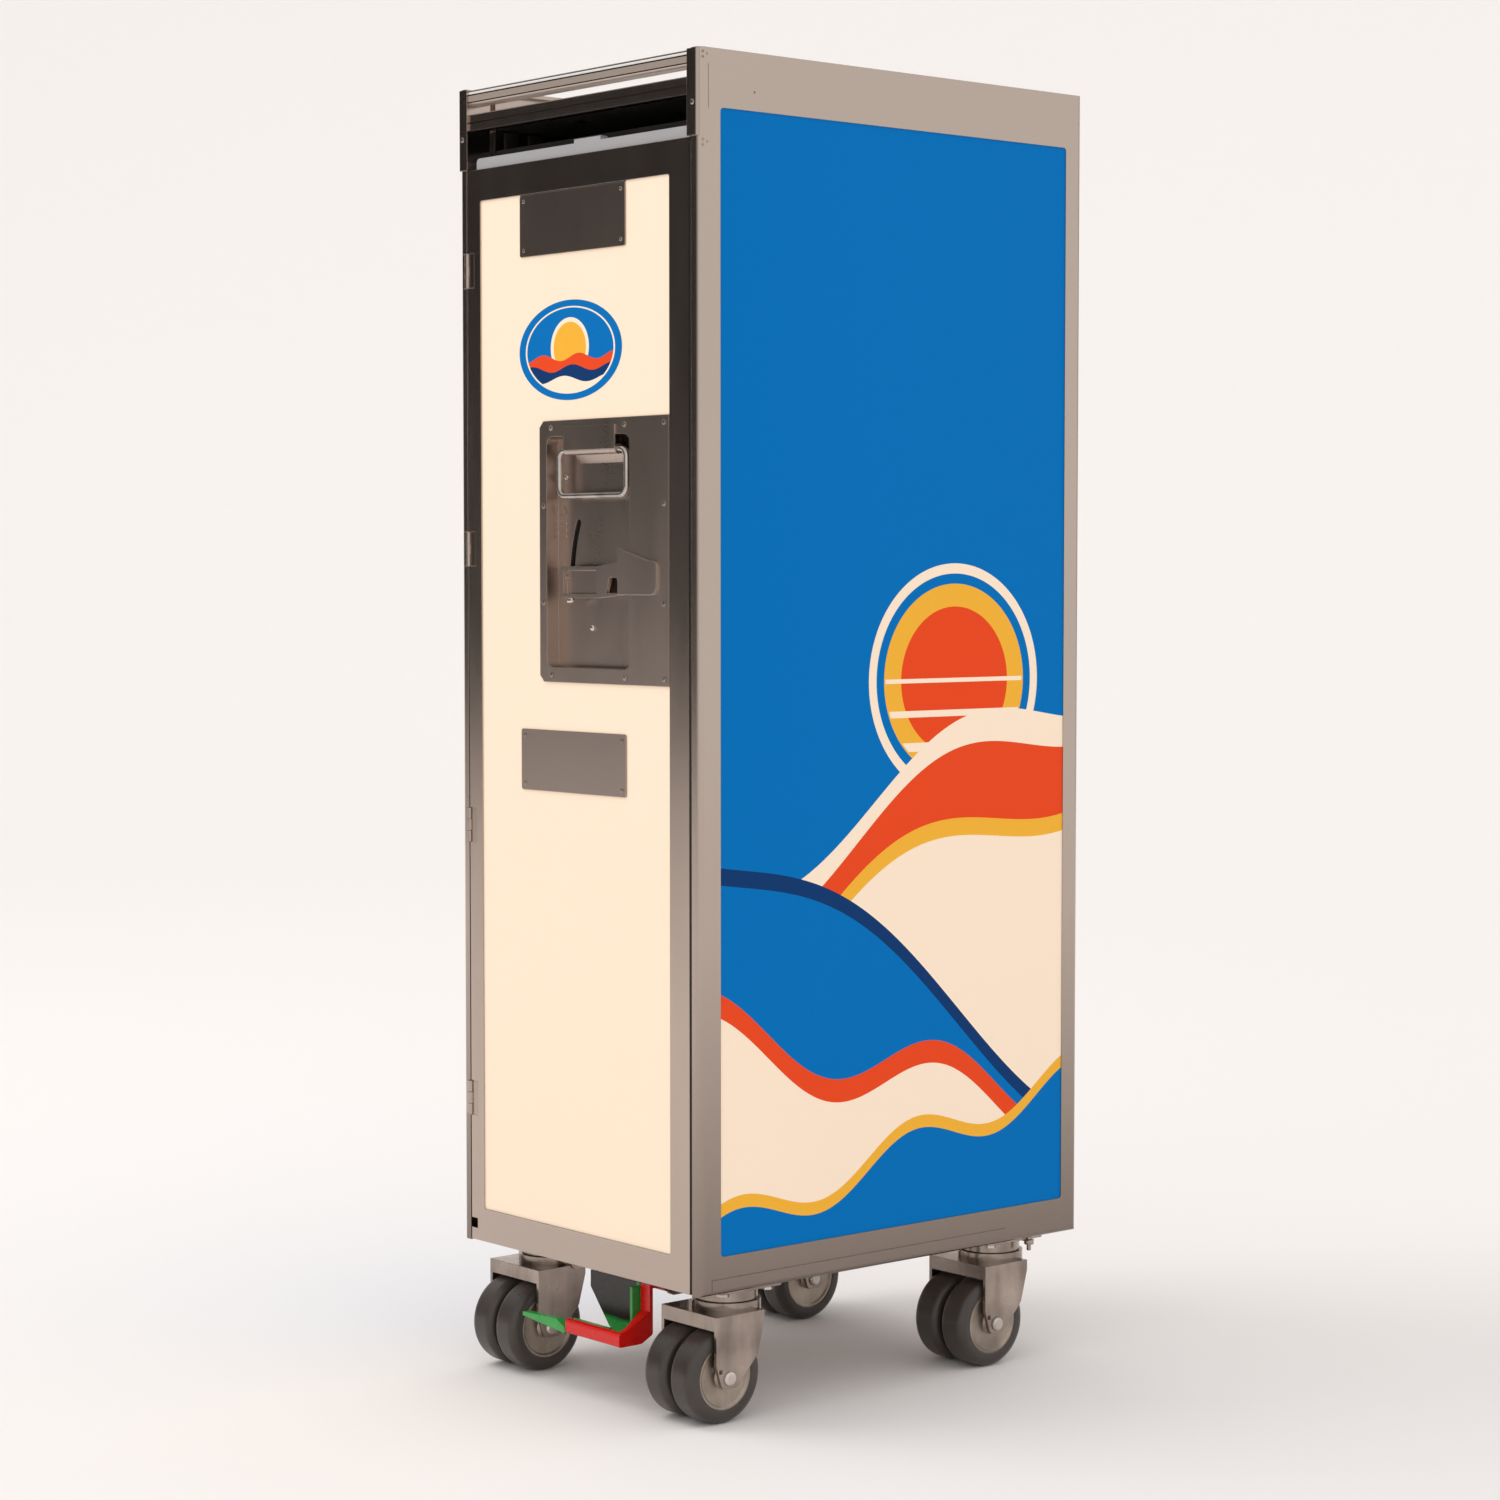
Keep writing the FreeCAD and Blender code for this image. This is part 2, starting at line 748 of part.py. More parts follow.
def side_panel(label, side):
    """Thin decorative board set in the recess of a side wall."""
    body = new_body(label)
    seat = half_width - cell("insert_recess")
    pad(body, "YZ", *sides(side, seat, seat + cell("insert_thick")), insert_field())
    return body


def runner_wall(label, side):
    """Pressed lining sheet with a row of ribs that carry the trays."""
    body = new_body(label)
    back = rear_inner
    sheet_plan = box_outline(runner_face, stop, wall_inner, back)
    pad(body, "XY", base_top, shelf_under, mirrored(sheet_plan, side))
    middle = base_top + cell("rib_first")
    tip = runner_face - cell("rib_depth")
    root = cell("rib_root") / 2
    crest = cell("rib_tip") / 2
    section = [(runner_face, middle - root),
               (runner_face, middle + root),
               (tip, middle + crest, cell("rib_radius")),
               (tip, middle - crest, cell("rib_radius"))]
    rib_front = stop + cell("rib_front_inset")
    rib_rear = back - cell("rib_rear_inset")
    rib = pad(body, "XZ", rib_front, rib_rear, mirrored(section, side))
    lead = [(tip - 1, rib_front - 1),
            (tip - 1, rib_front + cell("rib_lead")),
            (tip, rib_front + cell("rib_lead")),
            (runner_face - 1, rib_front),
            (runner_face - 1, rib_front - 1)]
    nose = pocket(body, "XY", middle - root, middle + root, mirrored(lead, side))
    room = shelf_under - cell("rib_head_room") - middle
    count = whole(room / cell("rib_pitch")) + 1
    repeat(body, [rib, nose], "Z_Axis", cell("rib_pitch"), count)
    return body


def rear_wall():
    body = new_body("rear_wall")
    outline = box_outline(-wall_inner, floor, wall_inner, tray_rim)
    pad(body, "XZ", rear_inner, rear, outline)
    margin = cell("rear_field_margin")
    field = box_outline(-wall_inner + margin, floor + cell("insert_margin_bottom"),
                        wall_inner - margin, top - cell("insert_margin_top"), 4)
    pocket(body, "XZ", rear - cell("rear_field_depth"), rear, field)
    return body


def mount_bolt_points():
    """Centres of the four bolts of each caster plate."""
    reach = cell("mount_bolt_spacing") / 2
    return [(across + shift_x, along + shift_y)
            for across, along in caster_spots
            for shift_x, shift_y in corners_of(reach, reach)]


def base_board():
    body = new_body("base_board")
    pad(body, "XY", floor, base_top, box_outline(-wall_inner, stop, wall_inner, rear_inner))
    holes = [circle(x, y, mount_hole) for x, y in mount_bolt_points()]
    pocket(body, "XY", floor, floor + cell("bolt_shank"), *holes)
    return body


side_wall("side_wall_left", -1)
side_wall("side_wall_right", 1)
side_panel("side_panel_left", -1)
side_panel("side_panel_right", 1)
runner_wall("runner_wall_left", -1)
runner_wall("runner_wall_right", 1)
rear_wall()
base_board()


# ---------------------------------------------------------------- head of the cart
def ceiling_shelf():
    """Sheet over the tray space with a folded apron that the door head shuts against."""
    body = new_body("ceiling_shelf")
    thick = cell("shelf_sheet")
    pad(body, "XY", shelf_under, shelf_top, box_outline(-wall_inner, stop, wall_inner, rear_inner))
    lip_top = shelf_top + cell("shelf_lip")
    apron = box_outline(-runner_face, lip_top - cell("shelf_apron"), runner_face, lip_top)
    pad(body, "XZ", stop, stop + thick, apron)
    return body


def top_tray():
    """Shallow open tray that forms the worktop of the cart."""
    body = new_body("top_tray")
    thick = cell("tray_sheet")
    end = front + cell("handle_depth")
    back = rear - cell("handle_depth")
    outline = box_outline(-wall_inner, end, wall_inner, back)
    inside = box_outline(-wall_inner + thick, end + thick, wall_inner - thick, back - thick,
                         cell("tray_corner"))
    pad(body, "XY", tray_under, tray_rim, outline)
    pocket(body, "XY", tray_floor, tray_rim, inside)
    return body


def top_fascia():
    """Folded front rail under the handle gap."""
    body = new_body("top_fascia")
    thick = cell("fascia_sheet")
    low = tray_rim - cell("fascia_height")
    inner = front + thick
    section = [(front, low, 1),
               (inner + cell("fascia_return"), low),
               (inner + cell("fascia_return"), low + thick),
               (inner, low + thick),
               (inner, tray_rim - thick),
               (front + cell("handle_depth"), tray_rim - thick),
               (front + cell("handle_depth"), tray_rim),
               (front, tray_rim, 1)]
    pad(body, "YZ", -post_inner, post_inner, section)
    middle = (low + tray_rim) / 2
    half = cell("fascia_groove") / 2
    seam = box_outline(-post_inner, middle - half, post_inner, middle + half)
    pocket(body, "XZ", front, front + cell("fascia_groove"), seam)
    return body


def handle_bars():
    """One grip bar across each end, clear of the tray rim by a hand's gap."""
    body = new_body("handle_bars")
    high = top - cell("handle_drop")
    low = high - cell("handle_height")
    depth = cell("handle_depth")
    groove = cell("handle_groove")
    for side, face, reach in ((1, front, post_inner), (-1, rear, wall_inner)):
        back = face + depth * side
        section = [(face, low, cell("handle_radius")), (back, low, 1),
                   (back, high, 1), (face, high, cell("handle_radius"))]
        pad(body, "YZ", -reach, reach, section)
        lines = [box_outline(-reach, low + height, reach, low + height + groove)
                 for height in (cell("handle_line_low"), cell("handle_line_high"))]
        ends = (face, face + groove) if side > 0 else (face - groove, face)
        pocket(body, "XZ", *ends, *lines)
    return body


def handle_brackets():
    """Cover plates over the ends of the front bar, wrapped a little way round each corner."""
    body = new_body("handle_brackets")
    radius = cell("corner_radius")
    thick = cell("bracket_thick")
    flat_end = half_width - radius + radius * math.tan(math.radians(22.5))
    wrap = radius * (1 - math.sqrt(0.5))
    step = thick * math.sqrt(0.5) - 0.2
    low = top - cell("bracket_bottom_drop")
    plan = [(bracket_inner, front),
            (flat_end, front),
            (half_width - wrap, front + wrap),
            (half_width - wrap + step, front + wrap - step),
            (flat_end + thick * 0.4, front - thick, 2),
            (bracket_inner, front - thick)]
    for side in (-1, 1):
        pad(body, "XY", low, top - cell("handle_drop"), mirrored(plan, side))
    return body


def bracket_rivets():
    """A domed rivet on each bracket."""
    body = new_body("bracket_rivets")
    height = top - cell("bracket_rivet_drop")
    across = (bracket_inner + half_width) / 2
    face = front - cell("bracket_thick")
    spots = [circle(across * side, height, cell("rivet_radius")) for side in (-1, 1)]
    pad(body, "XZ", face - cell("rivet_proud"), face, *spots)
    return body


ceiling_shelf()
top_tray()
top_fascia()
handle_bars()
handle_brackets()
bracket_rivets()


# ---------------------------------------------------------------- door
def door_frame():
    """Closed frame of the door, with the bolt's way through its free edge."""
    body = new_body("door_frame")
    outer = box_outline(hinge_axis + cell("hinge_door_gap"), door_low, door_edge, door_high)
    window = box_outline(window_left, window_low, window_right, window_high, 2)
    pad(body, "XZ", front, door_back, outer, window)
    round_edges(body, cell("door_round"),
                lambda middle, way: near(middle.y, front) and abs(way.z) > 0.9
                and near(middle.x, door_edge))
    notch_high = door_low + cell("drain_notch_drop") + cell("drain_notch")
    left = hinge_axis + cell("hinge_door_gap")
    notch = box_outline(left, notch_high - cell("drain_notch"),
                        left + cell("drain_notch"), notch_high)
    pocket(body, "XZ", front, front + cell("drain_notch_depth"), notch)
    half = cell("bolt_height") / 2 + cell("bolt_clearance")
    channel = box_outline(bolt_face - cell("bolt_clearance"), bolt_up - half,
                          bolt_back + cell("bolt_clearance"), bolt_up + half)
    pocket(body, "YZ", window_right, door_edge, channel)
    leaf = pocket(body, "XY", hinge_low, hinge_high, leaf_recess_door())
    barrel = pocket(body, "XY", hinge_low - cell("barrel_clearance"),
                    hinge_high + cell("barrel_clearance"),
                    circle(hinge_axis, front, barrel_cut))
    repeat(body, [leaf, barrel], "Z_Axis", hinge_pitch, cell("hinge_count"))
    return body


def leaf_recess_door():
    return box_outline(hinge_axis, front, hinge_axis + cell("hinge_leaf_door"),
                       front + cell("hinge_leaf_thick"))


def door_panel():
    """Coloured facing sheet, cut out behind the latch pan."""
    body = new_body("door_panel")
    outline = box_outline(window_left, window_low, window_right, window_high, 2)
    pad(body, "XZ", panel_face, panel_back, outline)
    pocket(body, "XZ", panel_face, panel_back, dish_outline(cell("pan_sheet")))
    pocket(body, "XZ", panel_face, panel_back, hub_pocket)
    return body


def dish_outline(grow=0.0):
    radius = cell("dish_radius") + grow
    return box_outline(dish_left - grow, dish_low - grow, dish_right + grow, dish_high + grow,
                       radius)


def door_core():
    """Insulating core with the pockets of the latch."""
    body = new_body("door_core")
    outline = box_outline(window_left, window_low, window_right, window_high, 2)
    pad(body, "XZ", panel_back, liner_face, outline)
    pocket(body, "XZ", panel_back, dish_back, dish_outline(cell("pan_sheet")))
    pocket(body, "XZ", panel_back, dish_back, hub_pocket)
    half = cell("bolt_height") / 2 + cell("bolt_clearance")
    cam_room = [(pivot_across - cell("cam_swing_room"), bolt_up - half),
                (window_right, bolt_up - half),
                (window_right, bolt_up + half),
                (pivot_across + cell("cam_room"), bolt_up + half),
                (pivot_across + cell("cam_room"), pivot_up + cell("cam_room"), 4),
                (pivot_across - cell("cam_swing_room"), pivot_up + cell("cam_room"), 4)]
    pocket(body, "XZ", dish_back, bolt_back + cell("bolt_clearance"), cam_room)
    cut_slot(body, dish_back, dish_back + cell("slot_relief"))
    return body


def cut_slot(body, near_face, far_face):
    """Round-ended slot along the arc that the lever's follower runs on."""
    half = cell("slot_width") / 2
    reach = cell("slot_radius")
    swing = cell("lever_swing")
    section = box_outline(pivot_across - reach - half, near_face,
                          pivot_across - reach + half, far_face)
    turn_cut(body, pivot_up, pivot_across, section, swing)
    ends = [circle(pivot_across - reach, pivot_up, half),
            circle(pivot_across - reach * cosine(swing), pivot_up + reach * sine(swing), half)]
    pocket(body, "XZ", near_face, far_face, *ends)


def door_liner():
    body = new_body("door_liner")
    outline = box_outline(window_left, window_low, window_right, window_high, 2)
    pad(body, "XZ", liner_face, door_back, outline)
    return body


def door_top_rail():
    """Bright capping rail with a small folded tab."""
    body = new_body("door_top_rail")
    face = front + cell("rail_setback")
    high = door_high + cell("rail_height")
    outline = [(-(door_edge - cell("rail_left_inset")), door_high),
               (door_edge - cell("rail_right_inset"), door_high),
               (door_edge - cell("rail_right_inset"), high, 1),
               (-(door_edge - cell("rail_left_inset")), high, cell("rail_end_radius"))]
    pad(body, "XZ", face, door_back - cell("rail_setback"), outline)
    half = cell("catch_tab_width") / 2
    tab = box_outline(cell("catch_tab_offset") - half, high,
                      cell("catch_tab_offset") + half, high + cell("catch_tab_height"))
    pad(body, "XZ", face, face + cell("catch_tab_depth"), tab)
    return body


def door_gasket():
    body = new_body("door_gasket")
    inset = cell("gasket_inset")
    width = cell("gasket_width")
    outer = box_outline(-door_edge + inset, door_low + inset,
                        door_edge - inset, door_high - inset, 4)
    inner = box_outline(-door_edge + inset + width, door_low + inset + width,
                        door_edge - inset - width, door_high - inset - width, 2)
    pad(body, "XZ", door_back, door_back + cell("gasket_thick"), outer, inner)
    return body


def card_plate_field(drop):
    """Outline (X, Z) of a card plate whose top lies a distance below the window's."""
    middle = (pan_left + pan_right) / 2 - cell("card_plate_shift")
    half = cell("card_plate_width") / 2
    high = window_high - drop
    return middle - half, high - cell("card_plate_height"), middle + half, high


def card_plates():
    """Two label plates, left bare."""
    body = new_body("card_plates")
    thick = cell("card_plate_thick")
    for drop in (cell("card_plate_top_drop"), cell("card_plate_low_drop")):
        outline = box_outline(*card_plate_field(drop), 2)
        pad(body, "XZ", panel_face - thick, panel_face, outline)
    return body


def door_screws():
    """Small domed screws of the card plates and the latch pan."""
    body = new_body("door_screws")
    inset = cell("screw_inset")
    proud_by = cell("screw_proud")
    radius = cell("screw_radius")
    for drop in (cell("card_plate_top_drop"), cell("card_plate_low_drop")):
        left, low, right, high = card_plate_field(drop)
        spots = [circle(x, z, radius * 0.7)
                 for x in (left + inset, right - inset) for z in (low + inset, high - inset)]
        face = panel_face - cell("card_plate_thick")
        pad(body, "XZ", face - proud_by / 2, face, *spots)
    margin = cell("pan_screw_inset")
    left, right = pan_left + margin, pan_right - margin
    high, low = pan_high - margin, pan_low + margin
    upper, lower = pan_high - cell("pan_screw_upper"), pan_low + cell("pan_screw_lower")
    corners = [(dish_left + 6, high), (dish_right - 6, high), (right, high),
               (left, upper), (right, upper), (left, lower), (right, lower),
               (dish_left + 6, low), (dish_right - 6, low), (right, low)]
    spots = [circle(x, z, radius) for x, z in corners]
    pad(body, "XZ", pan_face - proud_by, pan_face, *spots)
    return body


def latch_pan():
    """Pressed pan: flange, dish, arc slot and the hood over the lever's hub."""
    body = new_body("latch_pan")
    chamfer = cell("pan_chamfer")
    flange = [(pan_left, pan_low + chamfer), (pan_left + chamfer, pan_low),
              (pan_right, pan_low), (pan_right, pan_high),
              (pan_left + chamfer, pan_high), (pan_left, pan_high - chamfer)]
    pad(body, "XZ", pan_face, pan_back, flange)
    pad(body, "XZ", pan_back, dish_back, dish_outline(cell("pan_sheet")))
    pocket(body, "XZ", pan_face, dish_floor, dish_outline())
    opening = box_outline(pan_back, pivot_up - cell("arm_below"), lever_back + 2,
                          pivot_up + cell("arm_above") + cell("hub_pocket_rise"))
    pocket(body, "YZ", dish_right - 1, dish_right + 2, opening)
    cut_slot(body, dish_floor, dish_back)
    rise = cell("boss_rise")
    hood = [(hood_left, pivot_up - cell("hood_bottom")),
            (hood_right, pivot_up - cell("hood_bottom"), cell("hood_end_radius")),
            (hood_right, pivot_up + cell("hood_bottom") - 1, 5),
            (pivot_across - 4, pivot_up + cell("hood_bottom")),
            (hood_left, pivot_up + cell("hood_top"))]
    pad(body, "XZ", pan_face - rise, pan_face, hood)
    return body


def bail_clip():
    """Clip screwed above the dish, rolled round the bail handle's upper rod."""
    body = new_body("bail_clip")
    bore = cell("bail_rod") / 2 + cell("running_clearance")
    outer = bore + cell("bail_bore_wall")
    middle = (bail_left + bail_right) / 2
    half = cell("clip_width") / 2
    thick = cell("clip_sheet")
    plate = box_outline(pan_face - thick, bail_top, pan_face,
                        pan_high - cell("clip_edge_inset"))
    pad(body, "YZ", middle - half, middle + half, circle(bail_depth, bail_top, outer))
    pad(body, "YZ", middle - half, middle + half, plate)
    pocket(body, "YZ", middle - half, middle + half, circle(bail_depth, bail_top, bore))
    ramp_top = bail_top - cell("ramp_drop")
    ramp = [(outer + bail_depth, ramp_top), (dish_floor, ramp_top - cell("ramp_height")),
            (dish_floor, ramp_top)]
    pad(body, "YZ", middle - half + cell("ramp_inset"), middle + half, ramp)
    return body


door_frame()
door_panel()
door_core()
door_liner()
door_top_rail()
door_gasket()
card_plates()
latch_pan()
door_screws()
bail_clip()


# ---------------------------------------------------------------- hinges
def barrel_segments(low):
    """Height ranges of the three barrel pieces of one hinge, bottom to top."""
    step = segment + cell("barrel_clearance")
    return [(low + step * index, low + step * index + segment) for index in range(3)]


def hinge_leaves_body():
    """Leaves on the post, each with the upper and lower barrel pieces."""
    body = new_body("hinge_leaves_body")
    leaf = pad(body, "XY", hinge_low, hinge_high,
               hinge_leaf_body_outline(hinge_axis - barrel_cut))
    bridge = box_outline(hinge_axis - barrel_cut - 0.2, front, hinge_axis,
                         front + cell("hinge_leaf_thick"))
    made = [leaf]
    lower, _, upper = barrel_segments(hinge_low)
    for low, high in (lower, upper):
        made.append(pad(body, "XY", low, high, circle(hinge_axis, front, cell("barrel_radius"))))
        made.append(pad(body, "XY", low, high, bridge))
    bore = circle(hinge_axis, front, cell("hinge_pin_radius"))
    made.append(pocket(body, "XY", hinge_low, hinge_high, bore))
    repeat(body, made, "Z_Axis", hinge_pitch, cell("hinge_count"))
    return body


def hinge_leaves_door():
    """Leaves on the door, each with the middle barrel piece."""
    body = new_body("hinge_leaves_door")
    thick = cell("hinge_leaf_thick")
    outline = box_outline(hinge_axis + barrel_cut, front,
                          hinge_axis + cell("hinge_leaf_door"), front + thick)
    leaf = pad(body, "XY", hinge_low, hinge_high, outline)
    _, (low, high), _ = barrel_segments(hinge_low)
    barrel = pad(body, "XY", low, high, circle(hinge_axis, front, cell("barrel_radius")))
    bridge = pad(body, "XY", low, high,
                 box_outline(hinge_axis, front, hinge_axis + barrel_cut + 0.2, front + thick))
    bore = pocket(body, "XY", low, high,
                  circle(hinge_axis, front, cell("hinge_pin_radius") + cell("running_clearance")))
    repeat(body, [leaf, barrel, bridge, bore], "Z_Axis", hinge_pitch,
           cell("hinge_count"))
    return body


def hinge_pins():
    body = new_body("hinge_pins")
    pin = pad(body, "XY", hinge_low, hinge_high,
              circle(hinge_axis, front, cell("hinge_pin_radius")))
    repeat(body, [pin], "Z_Axis", hinge_pitch, cell("hinge_count"))
    return body


hinge_leaves_body()
hinge_leaves_door()
hinge_pins()


# ---------------------------------------------------------------- latch and bail
def latch_lever():
    """Paddle with a finger cup, hub, spindle, slot follower and the cam that draws the bolt."""
    body = new_body("latch_lever")
    left = pivot_across - cell("lever_reach")
    grip_end = pivot_across - cell("lever_grip_end")
    blade = [(left, pivot_up - cell("grip_below"), 2),
             (grip_end, pivot_up - cell("grip_below")),
             (pivot_across - 30, pivot_up - cell("arm_below") + 2),
             (pivot_across, pivot_up - cell("lever_hub_radius")),
             (pivot_across, pivot_up + cell("lever_hub_radius")),
             (pivot_across - 30, pivot_up + cell("arm_above")),
             (grip_end, pivot_up + cell("grip_above")),
             (left, pivot_up + cell("grip_above"), 2)]
    pad(body, "XZ", lever_face, lever_back, blade)
    pad(body, "XZ", lever_face, lever_back, circle(pivot_across, pivot_up,
                                                   cell("lever_hub_radius")))
    wall = cell("grip_wall")
    cup = (left + wall, pivot_up - cell("grip_below") + wall,
           grip_end, pivot_up + cell("grip_above") - wall)
    pad(body, "XZ", lever_back, lever_face + cell("grip_cup_depth"),
        box_outline(cup[0] - 1, cup[1] - 1, cup[2] + 1, cup[3] + 1, 2))
    pocket(body, "XZ", lever_face, lever_face + cell("grip_cup_depth") - 1,
           box_outline(*cup, 1))
    keyhole = [(grip_end + 12, pivot_up - 12), (grip_end + 31, pivot_up - 12),
               (grip_end + 25, pivot_up), (grip_end + 16, pivot_up)]
    pocket(body, "XZ", lever_face, lever_back, keyhole)
    follower = circle(pivot_across - cell("slot_radius"), pivot_up, cell("cam_pin_radius"))
    pad(body, "XZ", lever_back - 0.5, dish_back - 0.3, follower)
    pad(body, "XZ", lever_back - 0.5, bolt_back, circle(pivot_across, pivot_up,
                                                        cell("spindle_radius")))
    cam_half = cell("cam_pin_radius") + 1.6
    cam = box_outline(pivot_across - cam_half, bolt_up - cam_half,
                      pivot_across + cam_half, pivot_up, 1)
    pad(body, "XZ", cam_face, cam_back, cam)
    pad(body, "XZ", cam_back - 0.5, bolt_back,
        circle(pivot_across, bolt_up, cell("cam_pin_radius")))
    return body


def latch_bolt():
    """Sliding bolt with an upright slot for the cam pin; its nose is bevelled."""
    body = new_body("latch_bolt")
    half = cell("bolt_height") / 2
    slot_half = cell("cam_pin_radius") + cell("bolt_clearance")
    left = pivot_across - slot_half - cell("bolt_tail")
    nose = door_edge - cell("bolt_rest_inset")
    outline = box_outline(left, bolt_up - half, nose, bolt_up + half, 1)
    pad(body, "XZ", bolt_face, bolt_back, outline)
    slot = box_outline(pivot_across - slot_half, bolt_up - half + 4,
                       pivot_across + slot_half, bolt_up + half - 2, 2)
    pocket(body, "XZ", bolt_face, bolt_back, slot)
    bevel = [(nose - cell("bolt_thick") / 2, bolt_face - 1),
             (nose + 1, bolt_face - 1),
             (nose + 1, bolt_back - 1),
             (nose, bolt_back - 1),
             (nose - cell("bolt_thick") / 2, bolt_face)]
    pocket(body, "XY", bolt_up - half, bolt_up + half, bevel)
    return body


def bail_handle():
    """Closed ring of round rod, hanging in the dish from its upper side."""
    body = new_body("bail_handle")
    ring = box_outline(bail_left, bail_low, bail_right, bail_top, cell("bail_radius"))
    middle = (bail_low + bail_top) / 2
    sweep_ring(body, "XZ", -bail_depth, ring, (bail_left, middle), cell("bail_rod") / 2)
    return body


latch_lever()
latch_bolt()
bail_handle()


# ---------------------------------------------------------------- casters
def caster_plates():
    """Four mounting plates, each with the upper swivel race."""
    body = new_body("caster_plates")
    half = cell("mount_plate") / 2
    low = floor - cell("mount_plate_thick")
    race_low = cell("fork_top") + cell("race_rise") + cell("race_clearance")
    plates = [box_outline(x - half, y - half, x + half, y + half, 4) for x, y in caster_spots]
    pad(body, "XY", low, floor, *plates)
    pad(body, "XY", race_low, low,
        *[circle(x, y, cell("upper_race_radius")) for x, y in caster_spots])
    bore = cell("kingpin_radius") + cell("running_clearance")
    pocket(body, "XY", race_low, low + 1, *[circle(x, y, bore) for x, y in caster_spots])
    holes = [circle(x, y, mount_hole) for x, y in mount_bolt_points()]
    pocket(body, "XY", low, floor, *holes)
    return body


def hexagon(x, y, radius):
    """Outline of a bolt head; radius is to its points."""
    turns = [(math.cos(math.radians(60 * k)), math.sin(math.radians(60 * k))) for k in range(6)]
    return [(x + radius * across, y + radius * along) for across, along in turns]


def caster_bolts():
    body = new_body("caster_bolts")
    low = floor - cell("mount_plate_thick")
    head_low = low - cell("mount_bolt_head_height")
    points = mount_bolt_points()
    pad(body, "XY", head_low, low, *[hexagon(x, y, cell("mount_bolt_head")) for x, y in points])
    pad(body, "XY", low, floor + cell("bolt_shank"),
        *[circle(x, y, cell("mount_bolt_radius")) for x, y in points])
    return body


def caster_fork(label, x, y):
    """Pressed fork with its lower race and kingpin, drawn about its own swivel axis."""
    body = new_body(label)
    inner = cell("fork_gap") / 2
    outer = inner + cell("fork_sheet")
    sheet_low = cell("fork_top") - cell("fork_sheet")
    face = -cell("fork_front")
    axle_y = -cell("caster_trail")
    axle_z = cell("wheel_radius")
    leg = [(face, cell("fork_top"), 2),
           (face, axle_z + 11, 6),
           (axle_y - 7, cell("fork_foot_low"), 5),
           (axle_y + 7.5, cell("fork_foot_low"), 6),
           (cell("fork_rear") - 7, axle_z + 14, 10),
           (cell("fork_rear"), cell("fork_top") - 8, 6),
           (cell("fork_rear"), cell("fork_top"))]
    for side in (-1, 1):
        pad(body, "YZ", *sides(side, inner, outer), leg)
        pad(body, "YZ", *sides(side, inner - cell("fork_boss_depth"), inner),
            circle(axle_y, axle_z, cell("fork_boss_radius")))
    pad(body, "XY", sheet_low, cell("fork_top"), box_outline(-outer, face, outer,
                                                             cell("fork_rear")))
    pad(body, "XY", sheet_low, cell("fork_top"), circle(0, 0, cell("race_radius")))
    lip_low = sheet_low - cell("fork_lip")
    pad(body, "XZ", face, face + cell("fork_sheet"),
        box_outline(-inner, lip_low, inner, sheet_low))
    race_top = cell("fork_top") + cell("race_rise")
    pad(body, "XY", cell("fork_top"), race_top, circle(0, 0, cell("race_radius")))
    pad(body, "XY", race_top, floor - cell("mount_plate_thick") + 0.5,
        circle(0, 0, cell("kingpin_radius")))
    pocket(body, "YZ", -outer, outer, circle(axle_y, axle_z, cell("axle_radius")))
    key = cell("fork_key_size") / 2
    pocket(body, "YZ", -outer, outer,
           box_outline(axle_y - 8.5 - key, axle_z + 6 - key, axle_y - 8.5 + key, axle_z + 6 + key))
    return place(body, x, y)


def caster_axle(label, x, y):
    """Riveted axle with a collar that keeps the twin wheels apart."""
    body = new_body(label)
    end = cell("fork_gap") / 2 + cell("fork_sheet")
    tip = end + cell("axle_head")
    collar = cell("wheel_gap") / 2 - 0.2
    radius = cell("axle_radius")
    profile = [(-tip, 0), (-tip, cell("axle_head_radius"), 2), (-end, cell("axle_head_radius")),
               (-end, radius), (-collar, radius), (-collar, radius + 3),
               (collar, radius + 3), (collar, radius), (end, radius),
               (end, cell("axle_head_radius")), (tip, cell("axle_head_radius"), 2), (tip, 0)]
    revolve(body, "XY", "H_Axis", profile)
    return place(body, x, y - cell("caster_trail"), cell("wheel_radius"))


def wheel_offset(side):
    return (cell("wheel_gap") + cell("tyre_width")) / 2 * side


def wheel_hub(label, x, y, side):
    """Moulded hub: rim, dished web and bored boss."""
    body = new_body(label)
    half = cell("tyre_width") / 2
    bore = cell("axle_radius") + cell("running_clearance")
    rim = cell("rim_radius")
    boss = cell("hub_boss_radius")
    web = cell("hub_web") / 2
    slope = cell("hub_slope")
    edge = half - cell("rim_setback")
    profile = [(-half, bore), (-half, boss), (-web, boss + slope), (-web, rim - slope * 2),
               (-edge, rim - slope), (-edge, rim), (edge, rim), (edge, rim - slope),
               (web, rim - slope * 2), (web, boss + slope), (half, boss), (half, bore)]
    revolve(body, "XY", "H_Axis", profile)
    return place(body, x + wheel_offset(side), y - cell("caster_trail"), cell("wheel_radius"))


def wheel_tyre(label, x, y, side):
    """Solid tyre with full round shoulders."""
    body = new_body(label)
    half = cell("tyre_width") / 2
    rim = cell("rim_radius")
    outer = cell("wheel_radius")
    edge = half - cell("rim_setback")
    profile = [(-edge, rim), (-half, rim + 1), (-half, outer, cell("tyre_shoulder")),
               (half, outer, cell("tyre_shoulder")), (half, rim + 1), (edge, rim)]
    revolve(body, "XY", "H_Axis", profile)
    return place(body, x + wheel_offset(side), y - cell("caster_trail"), cell("wheel_radius"))


